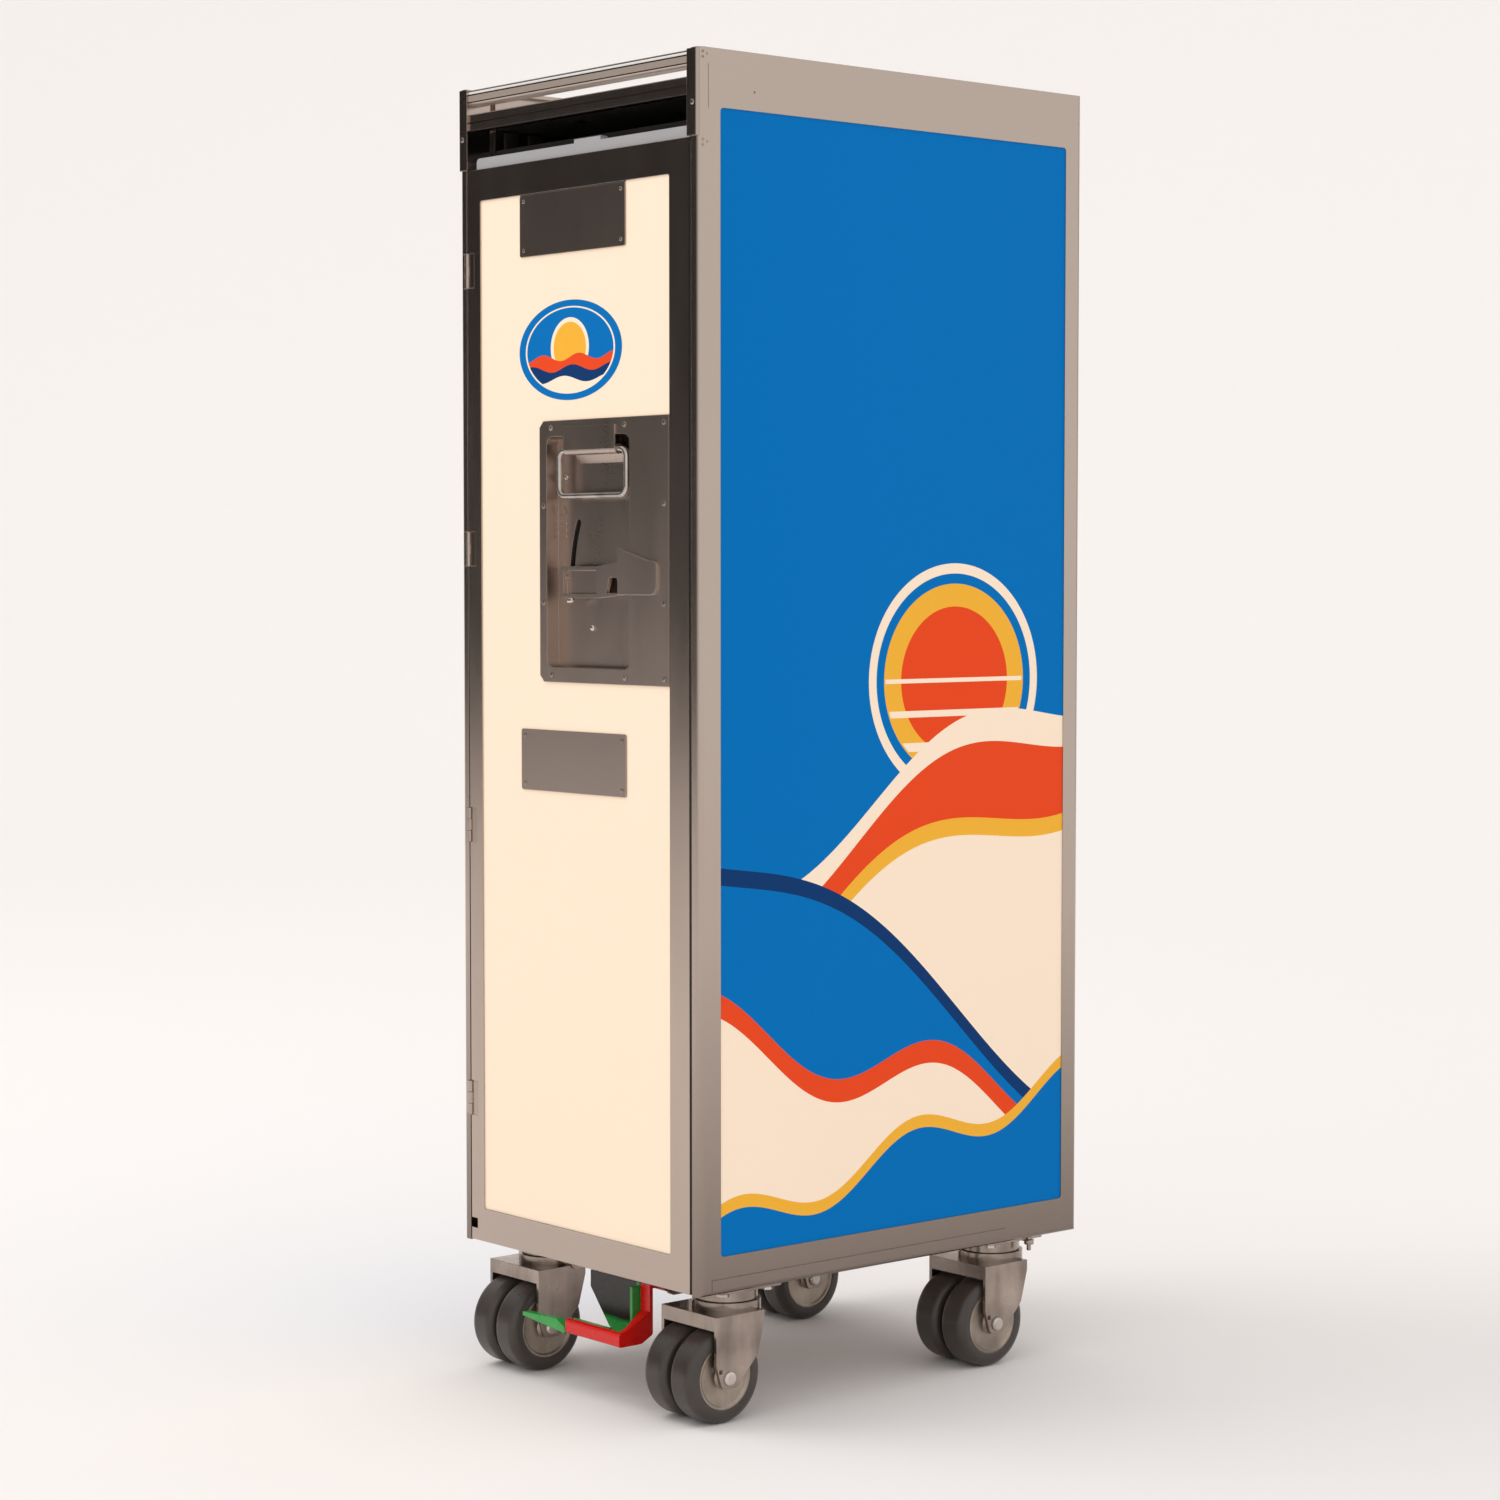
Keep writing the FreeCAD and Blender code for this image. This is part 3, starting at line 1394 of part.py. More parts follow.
CASTERS = {"fl": (-caster_across, caster_front), "fr": (caster_across, caster_front),
           "rl": (-caster_across, caster_rear), "rr": (caster_across, caster_rear)}
caster_plates()
caster_bolts()
for corner_name, (swivel_x, swivel_y) in CASTERS.items():
    caster_fork(f"caster_fork_{corner_name}", swivel_x, swivel_y)
    caster_axle(f"caster_axle_{corner_name}", swivel_x, swivel_y)
    for wheel_name, wheel_side in (("a", -1), ("b", 1)):
        wheel_hub(f"wheel_hub_{corner_name}_{wheel_name}", swivel_x, swivel_y, wheel_side)
        wheel_tyre(f"wheel_tyre_{corner_name}_{wheel_name}", swivel_x, swivel_y, wheel_side)


# ---------------------------------------------------------------- foot brake
def brake_brackets():
    """Two hanging plates that carry the pedal shaft."""
    body = new_body("brake_brackets")
    half = cell("bearing_half")
    low = shaft_up - cell("pedal_hub_radius")
    outline = [(shaft_along - half, floor), (shaft_along - half, low, 6),
               (shaft_along + half, low, 6), (shaft_along + half, floor)]
    hole = circle(shaft_along, shaft_up, cell("shaft_radius"))
    for side in (-1, 1):
        pad(body, "YZ", *sides(side, bearing_inner, bearing_outer), outline, hole)
    return body


def brake_shaft():
    body = new_body("brake_shaft")
    pad(body, "YZ", -shaft_half, shaft_half, circle(shaft_along, shaft_up, cell("shaft_radius")))
    return body


def pedal_hub(body, left, right):
    """Tube round the shaft with a short web to the arm plate."""
    arm = front + cell("pedal_arm_setback")
    pad(body, "YZ", left, right, circle(shaft_along, shaft_up, cell("pedal_hub_radius")))
    pad(body, "YZ", left, right,
        box_outline(arm, shaft_up - 2, shaft_along, shaft_up - 2 + cell("pedal_sheet")))


def pedal_bore(body, left, right):
    pocket(body, "YZ", left, right,
           circle(shaft_along, shaft_up, cell("shaft_radius") + cell("running_clearance")))


def brake_pedal_red():
    """Red pedal: a tread folded up at its right end into a ramp, a side web and one arm."""
    body = new_body("brake_pedal_red")
    left, right = red_arm_left, red_arm_right
    arm = front + cell("pedal_arm_setback")
    thick = cell("pedal_sheet")
    low = cell("tread_low")
    high = low + cell("tread_height")
    ramp_top = high + cell("ramp_rise")
    spread = left - cell("ramp_spread")
    pedal_hub(body, left, right)
    pad(body, "XZ", arm, arm + thick, box_outline(left, ramp_top - thick, right, shaft_up))
    back = front + cell("tread_depth")
    ramp = [(back - 1, low + thick), (back - 1, low), (back + 2, low),
            (arm + thick, ramp_top - thick), (arm + thick, ramp_top), (arm, ramp_top)]
    pad(body, "YZ", spread, right, ramp)
    corner = [(spread - 1, low + thick), (spread, low + thick), (left, high),
              (left, ramp_top + 1), (spread - 1, ramp_top + 1)]
    pocket(body, "XZ", back, arm + thick, corner)
    web = [(back - 1, low), (arm - 8, low, 8), (arm + thick, low + 6, 3),
           (arm + thick, ramp_top), (arm, ramp_top), (back - 1, high - 1)]
    pad(body, "YZ", right - thick, right, web)
    tread = [(front, low, cell("tread_round")), (back, low), (back, high, cell("tread_round")),
             (front, high - 2, cell("tread_round"))]
    pad(body, "YZ", -cell("red_tread_left"), right, tread)
    pedal_bore(body, left, right)
    return body


def brake_pedal_green():
    """Green release pedal: channelled apron in the middle, a strip to the left and its pad."""
    body = new_body("brake_pedal_green")
    left, right = green_arm_left, green_arm_right
    arm = front + cell("pedal_arm_setback")
    thick = cell("pedal_sheet")
    low = cell("tread_low")
    high = low + cell("tread_height")
    strip_face = front + cell("green_strip_setback")
    strip_back = strip_face + cell("green_strip")
    pad_right = -cell("red_tread_left") - cell("pedal_gap")
    pad_left = cell("green_pad_inset") - caster_across
    waist = left + cell("apron_taper")
    pedal_hub(body, left, right)
    apron = [(left, shaft_up), (left, shaft_up - cell("apron_shoulder")), (waist, low + 4, 6),
             (waist + 8, low, 6), (right - 8, low, 8), (right, low + 14, 8), (right, shaft_up)]
    pad(body, "XZ", arm, arm + thick, apron)
    lip = [(arm + thick, low), (arm + thick, low + 5), (arm, low + 9),
           (arm - cell("apron_lip"), low + 4), (arm - cell("apron_lip"), low + 1)]
    pad(body, "YZ", waist + 8, right - 10, lip)
    flange = box_outline(right - thick, arm - cell("apron_flange"), right, arm + thick)
    pad(body, "XY", low + 14, shaft_up - 2, flange)
    pad(body, "XY", low + 1, low + 1 + thick,
        box_outline(waist + 8, strip_face, waist + 16, arm + thick))
    pad(body, "XZ", strip_face, strip_back, box_outline(pad_right - 12, low + 1, waist + 16,
                                                        low + 7))
    roof = [(pad_left, low + 4.5), (pad_right - 11, low + 0.5), (pad_right, low - 0.5),
            (pad_right, low + 4), (pad_right - 11, low + 9.5), (pad_left, low + 7.5)]
    pad(body, "XZ", front, front + cell("tread_depth"), roof)
    pad(body, "XY", low + 1, low + 1 + thick,
        box_outline(pad_right - 12, front + 1, pad_right - 1, strip_back))
    pedal_bore(body, left, right)
    return body


brake_brackets()
brake_shaft()
brake_pedal_red()
brake_pedal_green()


# ---------------------------------------------------------------- check and write
doc.recompute()
for item in doc.Objects:
    if "Invalid" in item.State or "Error" in item.State:
        raise ValueError(f"{item.Label} did not compute: {item.State}")
os.makedirs("parts", exist_ok=True)
for item in doc.Objects:
    if item.TypeId != "PartDesign::Body":
        continue
    if item.Shape.isNull() or not item.Shape.isValid():
        raise ValueError(f"{item.Label} has no valid shape")
    item.Shape.exportStep(f"parts/{item.Label}.step")
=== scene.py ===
"""Studio scene of a half-size airline galley cart: satin metal body, cream door with a recessed
latch, a printed side board, twin-wheel casters and a two-way foot brake.  Metres, the cart's own
frame: +Z up, door towards -Y, origin on the floor under the middle of the cart."""

import json
import math

import bpy
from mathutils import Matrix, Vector


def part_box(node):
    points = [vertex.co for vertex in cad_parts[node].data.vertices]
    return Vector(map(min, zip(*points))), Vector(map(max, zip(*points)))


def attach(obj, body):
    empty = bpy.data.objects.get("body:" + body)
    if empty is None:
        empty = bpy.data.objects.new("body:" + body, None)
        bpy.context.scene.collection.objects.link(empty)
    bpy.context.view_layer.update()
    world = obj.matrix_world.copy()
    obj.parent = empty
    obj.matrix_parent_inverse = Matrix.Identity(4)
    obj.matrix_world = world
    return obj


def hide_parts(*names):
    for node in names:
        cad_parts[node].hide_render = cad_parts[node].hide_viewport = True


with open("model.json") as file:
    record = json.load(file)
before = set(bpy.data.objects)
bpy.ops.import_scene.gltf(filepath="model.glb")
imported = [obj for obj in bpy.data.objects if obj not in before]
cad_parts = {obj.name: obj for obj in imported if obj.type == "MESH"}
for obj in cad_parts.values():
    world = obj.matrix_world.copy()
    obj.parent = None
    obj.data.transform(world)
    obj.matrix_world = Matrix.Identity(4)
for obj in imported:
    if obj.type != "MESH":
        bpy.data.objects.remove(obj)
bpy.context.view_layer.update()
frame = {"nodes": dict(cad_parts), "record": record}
MM = 0.001
X, Y, Z = 0, 1, 2


# ---------------------------------------------------------------- shader arithmetic
def colour(text):
    """A web colour as linear RGBA."""
    parts = [int(text[k:k + 2], 16) / 255 for k in (1, 3, 5)]
    linear = [c / 12.92 if c <= 0.04045 else ((c + 0.055) / 1.055) ** 2.4 for c in parts]
    return (*linear, 1.0)


def toned(tint, factor, lift=0.0):
    """A tint made darker or lighter by a factor."""
    return tuple(min(1.0, c * factor + lift) for c in tint[:3]) + (1.0,)


class Signal:
    """A number that varies over a surface and can be used in plain arithmetic."""

    def __init__(self, graph, socket):
        self.graph = graph
        self.socket = socket

    def combine(self, operation, *others):
        return self.graph.calculate(operation, self, *others)

    def __add__(self, other):
        return self.combine("ADD", other)

    def __sub__(self, other):
        return self.combine("SUBTRACT", other)

    def __mul__(self, other):
        return self.combine("MULTIPLY", other)

    def __truediv__(self, other):
        return self.combine("DIVIDE", other)

    __radd__ = __add__
    __rmul__ = __mul__

    def __rsub__(self, other):
        return self.graph.calculate("SUBTRACT", other, self)

    def __gt__(self, other):
        return self.combine("GREATER_THAN", other)

    def __lt__(self, other):
        return self.combine("LESS_THAN", other)

    def __abs__(self):
        return self.combine("ABSOLUTE")

    def sine(self):
        return self.combine("SINE")

    def either(self, other):
        return self.combine("MAXIMUM", other)

    def both(self, other):
        return self.combine("MULTIPLY", other)

    def within(self, low, high):
        """1 where the signal lies between low and high, and 0 elsewhere."""
        return (self > low).both(self < high)

    def swing(self, amount):
        """A noise made to vary about zero, by that amount from end to end."""
        return (self - 0.5) * amount

    def ramp(self, low, high, start=0.0, end=1.0):
        """Straight run from start to end while the signal goes from low to high."""
        node = self.graph.add("ShaderNodeMapRange", {"Value": self, "From Min": low,
                                                     "From Max": high, "To Min": start,
                                                     "To Max": end})
        return Signal(self.graph, node.outputs["Result"])


class Graph:
    """A node tree that is built up node by node."""

    def __init__(self, tree, output_kind):
        self.tree = tree
        self.tree.nodes.clear()
        self.output = self.add(output_kind)

    def add(self, kind, inputs=None, **settings):
        """A node with its settings and its inputs, given by name or number."""
        node = self.tree.nodes.new(kind)
        for key, value in settings.items():
            setattr(node, key, value)
        for key, value in (inputs or {}).items():
            self.feed(node.inputs[key], value)
        return node

    def feed(self, socket, value):
        """Link a signal or an output to a socket, or set the socket to a plain value."""
        if isinstance(value, Signal):
            self.tree.links.new(value.socket, socket)
        elif isinstance(value, bpy.types.NodeSocket):
            self.tree.links.new(value, socket)
        else:
            socket.default_value = value

    def calculate(self, operation, *values):
        node = self.add("ShaderNodeMath", dict(enumerate(values)), operation=operation)
        return Signal(self, node.outputs[0])


class Finish(Graph):
    """One material, built up from a plain surface shader."""

    def __init__(self, name):
        self.material = bpy.data.materials.new(name)
        self.material.use_nodes = True
        super().__init__(self.material.node_tree, "ShaderNodeOutputMaterial")
        self.shader = self.add("ShaderNodeBsdfPrincipled")
        self.feed(self.output.inputs["Surface"], self.shader.outputs[0])
        self.coordinates = self.add("ShaderNodeTexCoord").outputs["Object"]

    def axes(self):
        """Place on the X, Y and Z axes, each as a signal."""
        node = self.add("ShaderNodeSeparateXYZ", {0: self.coordinates})
        return [Signal(self, output) for output in node.outputs]

    def noise(self, scale, detail, stretch=(1, 1, 1)):
        """Soft noise of that many waves per metre, drawn out along an axis by a small stretch."""
        place = self.add("ShaderNodeMapping", {"Vector": self.coordinates, "Scale": stretch})
        node = self.add("ShaderNodeTexNoise", {"Vector": place.outputs[0], "Scale": scale,
                                               "Detail": detail})
        return Signal(self, node.outputs[0])

    def blend(self, factor, first, second):
        """Colour that goes from first to second as the factor goes from 0 to 1."""
        node = self.add("ShaderNodeMix", {0: factor, 6: first, 7: second}, data_type="RGBA")
        return node.outputs[2]

    def set(self, **values):
        """Values of the surface shader, its input names written with underscores."""
        for key, value in values.items():
            self.feed(self.shader.inputs[key.replace("_", " ")], value)
        return self

    def relief(self, height, distance, strength, edge=None):
        """Bump from a signal, and sharp edges that shade as if rounded by the edge radius."""
        inputs = {"Height": height, "Distance": distance, "Strength": strength}
        if edge:
            soft = self.add("ShaderNodeBevel", {"Radius": edge}, samples=4)
            inputs["Normal"] = soft.outputs[0]
        node = self.add("ShaderNodeBump", inputs)
        self.feed(self.shader.inputs["Normal"], node.outputs[0])
        return self


# ---------------------------------------------------------------- finishes
TAUPE = colour("#BEAEA3")
# Painted shade for grooves, folds and the door's edge, and a painted highlight for the handle
# bar.
SHADE = colour("#3A332F")
PAINTED_HIGHLIGHT = colour("#FFFAF5")
# Painted shade near the floor: its tint, the heights between which it fades out, and its strength
# on the side walls.
REFLECTED_SHADE = colour("#0A0807")
REFLECTED_SHADE_LOW, REFLECTED_SHADE_TOP = 104 * MM, 370 * MM
WALL_REFLECTED_SHADE = 0.5


def satin_metal(name, tint, roughness=0.2, grain=0.22, metallic=1.0, bands=(), reflected_shade=0.0):
    """Anodised sheet: fine grain, faint cloudy wear and softened edges.  A band gives the metal
    between two places on an axis a tint of its own, used for painted shade and a painted
    highlight;
    painted shade, standing for the shadowed floor mirrored in the metal, darkens it towards the
    floor."""
    finish = Finish(name)
    fine = finish.noise(scale=1500, detail=2)
    cloud = finish.noise(scale=9, detail=4)
    smear = finish.noise(scale=30, detail=3, stretch=(1, 1, 0.2))
    wear_level = fine.swing(grain) + cloud.swing(0.10) + 0.5
    surface = finish.blend(wear_level, toned(tint, 0.72), toned(tint, 1.2))
    for axis, low, high, band_tint in bands:
        surface = finish.blend(finish.axes()[axis].within(low, high), surface, band_tint)
    # Painted shade: darker towards the floor, standing for the shadowed floor mirrored in the
    # metal.
    if reflected_shade:
        shade_towards_floor = finish.axes()[Z].ramp(REFLECTED_SHADE_LOW, REFLECTED_SHADE_TOP, start=reflected_shade, end=0.0)
        surface = finish.blend(shade_towards_floor, surface, REFLECTED_SHADE)
    finish.set(Base_Color=surface, Metallic=metallic,
               Roughness=fine.swing(0.06) + smear.swing(0.14) + roughness)
    return finish.relief(fine, distance=0.03 * MM, strength=0.14, edge=0.6 * MM).material


def worn_steel(name, tint, roughness):
    """Zinc-plated steel with streaks, stains and small scratches."""
    finish = Finish(name)
    streak = finish.noise(scale=60, detail=4, stretch=(1, 1, 0.15))
    stain = finish.noise(scale=28, detail=5)
    scratch = finish.noise(scale=420, detail=2, stretch=(1, 0.08, 1))
    wear_level = streak.swing(1.1) + stain.swing(1.3) + 0.55
    finish.set(Base_Color=finish.blend(wear_level, toned(tint, 0.35), toned(tint, 1.25)),
               Metallic=0.95,
               Roughness=stain.swing(0.3) + scratch.swing(0.12) + roughness)
    return finish.relief(scratch, distance=0.03 * MM, strength=0.5, edge=0.6 * MM).material


def rubber(name, tint, roughness):
    """Rubber with a rough skin, paler where dust lies on it."""
    finish = Finish(name)
    grain = finish.noise(scale=900, detail=3)
    dust = finish.noise(scale=35, detail=4)
    dusty = toned(tint, 1.7, lift=0.01)
    finish.set(Base_Color=finish.blend((dust - 0.35) * 0.8, tint, dusty),
               Roughness=dust.swing(0.25) + roughness)
    return finish.relief(grain, distance=0.06 * MM, strength=0.5, edge=0.5 * MM).material


def moulded_skin(finish, cloud, shade, roughness):
    """Surface of a moulded or enamelled part: fine skin, soft edges, slightly uneven gloss."""
    finish.set(Base_Color=shade, Roughness=cloud.swing(0.15) + roughness)
    skin = finish.noise(scale=600, detail=2)
    return finish.relief(skin, distance=0.03 * MM, strength=0.4, edge=0.4 * MM).material


def moulded(name, tint, roughness):
    """Moulded plastic or enamel of one colour."""
    finish = Finish(name)
    cloud = finish.noise(scale=40, detail=3)
    return moulded_skin(finish, cloud, finish.blend(cloud, toned(tint, 0.8), tint), roughness)


def pedal_enamel():
    """Green enamel, with dark brown painted shade over the face of the pedal's apron, where it
    lies in shadow under the cart.
    """
    finish = Finish("pedal_apron")
    across, _, up = finish.axes()
    low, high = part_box("brake_pedal_green")
    apron_left, apron_right = high[X] - 62.5 * MM, high[X] - 3.4 * MM
    shade_start, shade_end = low[Z] + 10 * MM, low[Z] + 14 * MM
    cloud = finish.noise(scale=40, detail=3)
    # Painted shade on the apron's face, from a little above its lower lip, with a ragged lower
    # edge.
    face = (up + cloud.swing(4 * MM)).ramp(shade_start, shade_end)
    apron_shade = face.both(across.within(apron_left, apron_right))
    green = finish.blend(cloud, colour("#23803A"), colour("#38B04C"))
    return moulded_skin(finish, cloud, finish.blend(apron_shade, green, colour("#1B1512")), 0.28)


# ---------------------------------------------------------------- printed film
CREAM, BLUE = colour("#FFEAD2"), colour("#0071BC")
RED, AMBER, NAVY = colour("#EB4C23"), colour("#F5B53C"), colour("#113A70")
FILM_SHEEN = 0.04
FILM_ROUGHNESS = 0.5

# Sun on the side board: its middle (y, z), and its discs from the outermost in.
SUN = (62 * MM, 560 * MM)
SUN_DISCS = ((92 * MM, CREAM), (84 * MM, BLUE), (76 * MM, AMBER), (58 * MM, RED))
SUN_BAR_REACH = 74.5 * MM
SUN_BAR_LOWEST, SUN_BAR_PITCH = -52 * MM, 26 * MM
SUN_BAR_HALF, SUN_BAR_TAPER = 3.5 * MM, 0.9 * MM

# Hills and waves of the side board, from the back: the height of the crest line at y = 0, its
# slope, the height of its swell, how fast the swell turns along y, where it starts, and the tint.
LAND = ((0.475, 0.35, 0.030, 17, 0.4, CREAM), (0.452, 0.38, 0.030, 17, 0.7, RED),
        (0.402, 0.42, 0.034, 15, 1.5, AMBER), (0.388, 0.42, 0.034, 15, 1.5, CREAM),
        (0.335, -0.55, 0.030, 14, 2.2, NAVY), (0.322, -0.55, 0.030, 14, 2.2, BLUE),
        (0.262, -0.25, 0.024, 26, 0.3, RED), (0.244, -0.25, 0.024, 26, 0.3, CREAM),
        (0.196, 0.22, 0.016, 34, 1.0, AMBER), (0.186, 0.22, 0.016, 34, 1.0, BLUE))

# Badge, in half widths and half heights: rays and sun over three waves, inside a ring.  A wave
# has the speed of its swell, where it starts, its height and its tint.
BADGE_SUN_RISE, BADGE_SUN_SQUASH = 0.05, 2.6
BADGE_SUNS = ((0.36, CREAM), (0.26, AMBER))
BADGE_WAVES = ((9, 0.0, -0.14, RED), (8, 1.2, -0.36, NAVY), (7, 2.4, -0.58, CREAM))
BADGE_SWELL = 0.07
BADGE_RING = (0.71, 0.76)


def film_surface(finish, shade):
    """Smooth printed film with the faintest orange-peel."""
    peel = finish.noise(scale=220, detail=2)
    finish.set(Base_Color=shade, Roughness=peel.swing(0.08) + FILM_ROUGHNESS,
               Specular_IOR_Level=FILM_SHEEN)
    return finish.relief(peel, distance=0.02 * MM, strength=0.25).material


def plain_film(name, tint):
    """Film of one colour, very slightly uneven."""
    finish = Finish(name)
    cloud = finish.noise(scale=6, detail=3)
    return film_surface(finish, finish.blend(cloud, toned(tint, 0.98), tint))


def side_print():
    """Blue board with a barred sun over folded hills and waves."""
    finish = Finish("side_print")
    _, along, up = finish.axes()
    off_y, off_z = along - SUN[0], up - SUN[1]
    reach = off_y * off_y + off_z * off_z
    shade = BLUE
    for radius, tint in SUN_DISCS:
        shade = finish.blend(reach < radius ** 2, shade, tint)
    for index in range(3):
        middle = SUN_BAR_LOWEST + index * SUN_BAR_PITCH
        bar = abs(off_z - middle) < SUN_BAR_HALF - index * SUN_BAR_TAPER
        shade = finish.blend(bar.both(reach < SUN_BAR_REACH ** 2), shade, CREAM)
    for base, slope, swell, turns, start, tint in LAND:
        crest = along * slope + (along * turns + start).sine() * swell + base
        shade = finish.blend(up < crest, shade, tint)
    return film_surface(finish, shade)


def badge_print(middle_x, middle_z, half_width, half_height):
    """Oval badge: cream ring on blue, with a low sun over waves."""
    finish = Finish("roundel_print")
    across, _, up = finish.axes()
    u = (across - middle_x) / half_width
    v = (up - middle_z) / half_height
    rise = v - BADGE_SUN_RISE
    glow = u * u * BADGE_SUN_SQUASH + rise * rise
    shade = BLUE
    for edge, tint in BADGE_SUNS:
        shade = finish.blend(glow < edge, shade, tint)
    for turns, start, base, tint in BADGE_WAVES:
        wave = (u * turns + start).sine() * BADGE_SWELL + base
        shade = finish.blend(v < wave, shade, tint)
    reach = u * u + v * v
    ring_inner, ring_outer = BADGE_RING
    shade = finish.blend(reach > ring_outer, shade, BLUE)
    return film_surface(finish, finish.blend(reach.within(ring_inner, ring_outer), shade, CREAM))


# ---------------------------------------------------------------- finishes on the parts
def bar_bands():
    """Handle bar: painted shade as dark lines in its grooves and along its top, and a painted
    highlight strip between.
    """
    low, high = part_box("handle_bars")[0][Z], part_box("handle_bars")[1][Z]
    lower_groove = (low + 1.9 * MM, low + 2.9 * MM)
    upper_groove = (low + 7.6 * MM, low + 8.7 * MM)
    top_line = (high - 2.0 * MM, high + MM)
    return ((Z, upper_groove[1], top_line[0], PAINTED_HIGHLIGHT), (Z, *upper_groove, SHADE),
            (Z, *lower_groove, SHADE), (Z, *top_line, SHADE))


def fascia_bands():
    """Fascia: painted shade as a dark line in its middle groove and along its bottom fold."""
    low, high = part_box("top_fascia")[0][Z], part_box("top_fascia")[1][Z]
    middle, half = (low + high) / 2, 0.6 * MM
    return (Z, middle - half, middle + half, SHADE), (Z, low - MM, low + 0.9 * MM, SHADE)


def door_bands():
    """Door frame: painted shade in a dark strip down its free edge, where the gap to the post
    lies in shade.
    """
    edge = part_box("door_frame")[1][X]
    return ((X, edge - 1.4 * MM, edge + MM, SHADE),)


SLOT_FINISHES = {
    "satin_metal": satin_metal("satin_metal", TAUPE),
    "bracket_metal": satin_metal("bracket_metal", colour("#B6A69B")),
    "lining_metal": satin_metal("lining_metal", colour("#C9C4BF"), roughness=0.3),
    "silver_trim": satin_metal("silver_trim", colour("#BFBDC0"), roughness=0.45, grain=0.05,
                               metallic=0.3),
    "pan_metal": satin_metal("pan_metal", colour("#BAAAA0"), roughness=0.3, grain=0.3),
    "bright_steel": worn_steel("bright_steel", colour("#DAD0C8"), roughness=0.2),
    "fork_steel": worn_steel("fork_steel", colour("#A99B91"), roughness=0.22),
    "panel_blue": plain_film("panel_blue", BLUE),
    "panel_cream": plain_film("panel_cream", CREAM),
    "hub_plastic": worn_steel("hub_plastic", colour("#B3A598"), roughness=0.42),
    "tyre_rubber": rubber("tyre_rubber", colour("#3B3430"), roughness=0.32),
    "pedal_red": moulded("pedal_red", colour("#DA0C08"), roughness=0.28),
    "pedal_green": moulded("pedal_green", colour("#2E9A42"), roughness=0.28),
    "gasket_rubber": rubber("gasket_rubber", colour("#1E1C1B"), roughness=0.6),
    "core_foam": moulded("core_foam", colour("#2C2723"), roughness=0.8),
}
# Dark finish as painted shade on the surfaces inside the service slot.
SLOT_SHADE_FINISH = moulded("painted_slot_shade", colour("#2A2624"), roughness=0.6)
NODE_FINISHES = {
    "side_panel_right": side_print(),
    "bail_clip": SLOT_FINISHES["pan_metal"],
    # Ceiling shelf inside the slot: painted shade.
    "ceiling_shelf": SLOT_SHADE_FINISH,
    "brake_pedal_green": pedal_enamel(),
    "door_frame": satin_metal("door_metal", TAUPE, bands=door_bands()),
    "side_wall_right": satin_metal("side_metal", TAUPE, reflected_shade=WALL_REFLECTED_SHADE),
    "side_wall_left": satin_metal("side_metal_left", TAUPE, reflected_shade=WALL_REFLECTED_SHADE),
    "top_fascia": satin_metal("fascia_metal", TAUPE, bands=fascia_bands()),
    "handle_bars": satin_metal("handle_metal", TAUPE, metallic=0.35, bands=bar_bands()),
}

for part in frame["record"]["subparts"]:
    node_finish = NODE_FINISHES.get(part["node"], SLOT_FINISHES[part["material_slot"]])
    for mesh_slot in frame["nodes"][part["node"]].material_slots:
        mesh_slot.material = node_finish


# ---------------------------------------------------------------- modelling helpers
TURNS = {"X": (0, math.radians(90), 0), "Y": (math.radians(90), 0, 0), "Z": (0, 0, 0)}
FACINGS = {"X": Vector((1, 0, 0)), "Y": Vector((0, -1, 0))}
SMOOTH_BELOW = math.radians(35)


def begin():
    """Object mode with nothing selected."""
    if bpy.context.object and bpy.context.object.mode != "OBJECT":
        bpy.ops.object.mode_set(mode="OBJECT")
    bpy.ops.object.select_all(action="DESELECT")


def hold(piece):
    """Object mode with only this piece selected and active."""
    begin()
    bpy.context.view_layer.objects.active = piece
    piece.select_set(True)


def settle():
    """The active object's place, turn and size go into its mesh."""
    bpy.ops.object.transform_apply(location=True, rotation=True, scale=True)
    return bpy.context.object


def block(low, high):
    """A box between two corners."""
    begin()
    middle = [(a + b) / 2 for a, b in zip(low, high)]
    size = [b - a for a, b in zip(low, high)]
    bpy.ops.mesh.primitive_cube_add(size=1, location=middle, scale=size)
    return settle()


def disc(place, radius, length, axis, sides):
    """A short cylinder whose middle lies at place."""
    begin()
    bpy.ops.mesh.primitive_cylinder_add(vertices=sides, radius=radius, depth=length,
                                        location=place, rotation=TURNS[axis])
    return settle()


def pick(piece, kind, chosen):
    """Edit mode with only those faces or edges selected for which chosen holds."""
    hold(piece)
    bpy.ops.object.mode_set(mode="EDIT")
    bpy.ops.mesh.select_mode(type=kind)
    bpy.ops.mesh.select_all(action="DESELECT")
    bpy.ops.object.mode_set(mode="OBJECT")
    for element in piece.data.polygons if kind == "FACE" else piece.data.edges:
        element.select = chosen(element)
    bpy.ops.object.mode_set(mode="EDIT")


def face_outwards():
    """Faces of the mesh in edit mode point outwards; object mode follows."""
    bpy.ops.mesh.select_all(action="SELECT")
    bpy.ops.mesh.normals_make_consistent(inside=False)
    bpy.ops.object.mode_set(mode="OBJECT")


def bevel(piece, width, segments=2, limit=40):
    """Round the edges of a piece that are sharper than a limit in degrees."""
    hold(piece)
    rounding = piece.modifiers.new("rounding", "BEVEL")
    rounding.width = width
    rounding.segments = segments
    rounding.angle_limit = math.radians(limit)
    bpy.ops.object.modifier_apply(modifier=rounding.name)
    return piece


def twin_of(piece):
    """A copy of a piece with a mesh of its own."""
    twin = piece.copy()
    twin.data = piece.data.copy()
    bpy.context.scene.collection.objects.link(twin)
    return twin


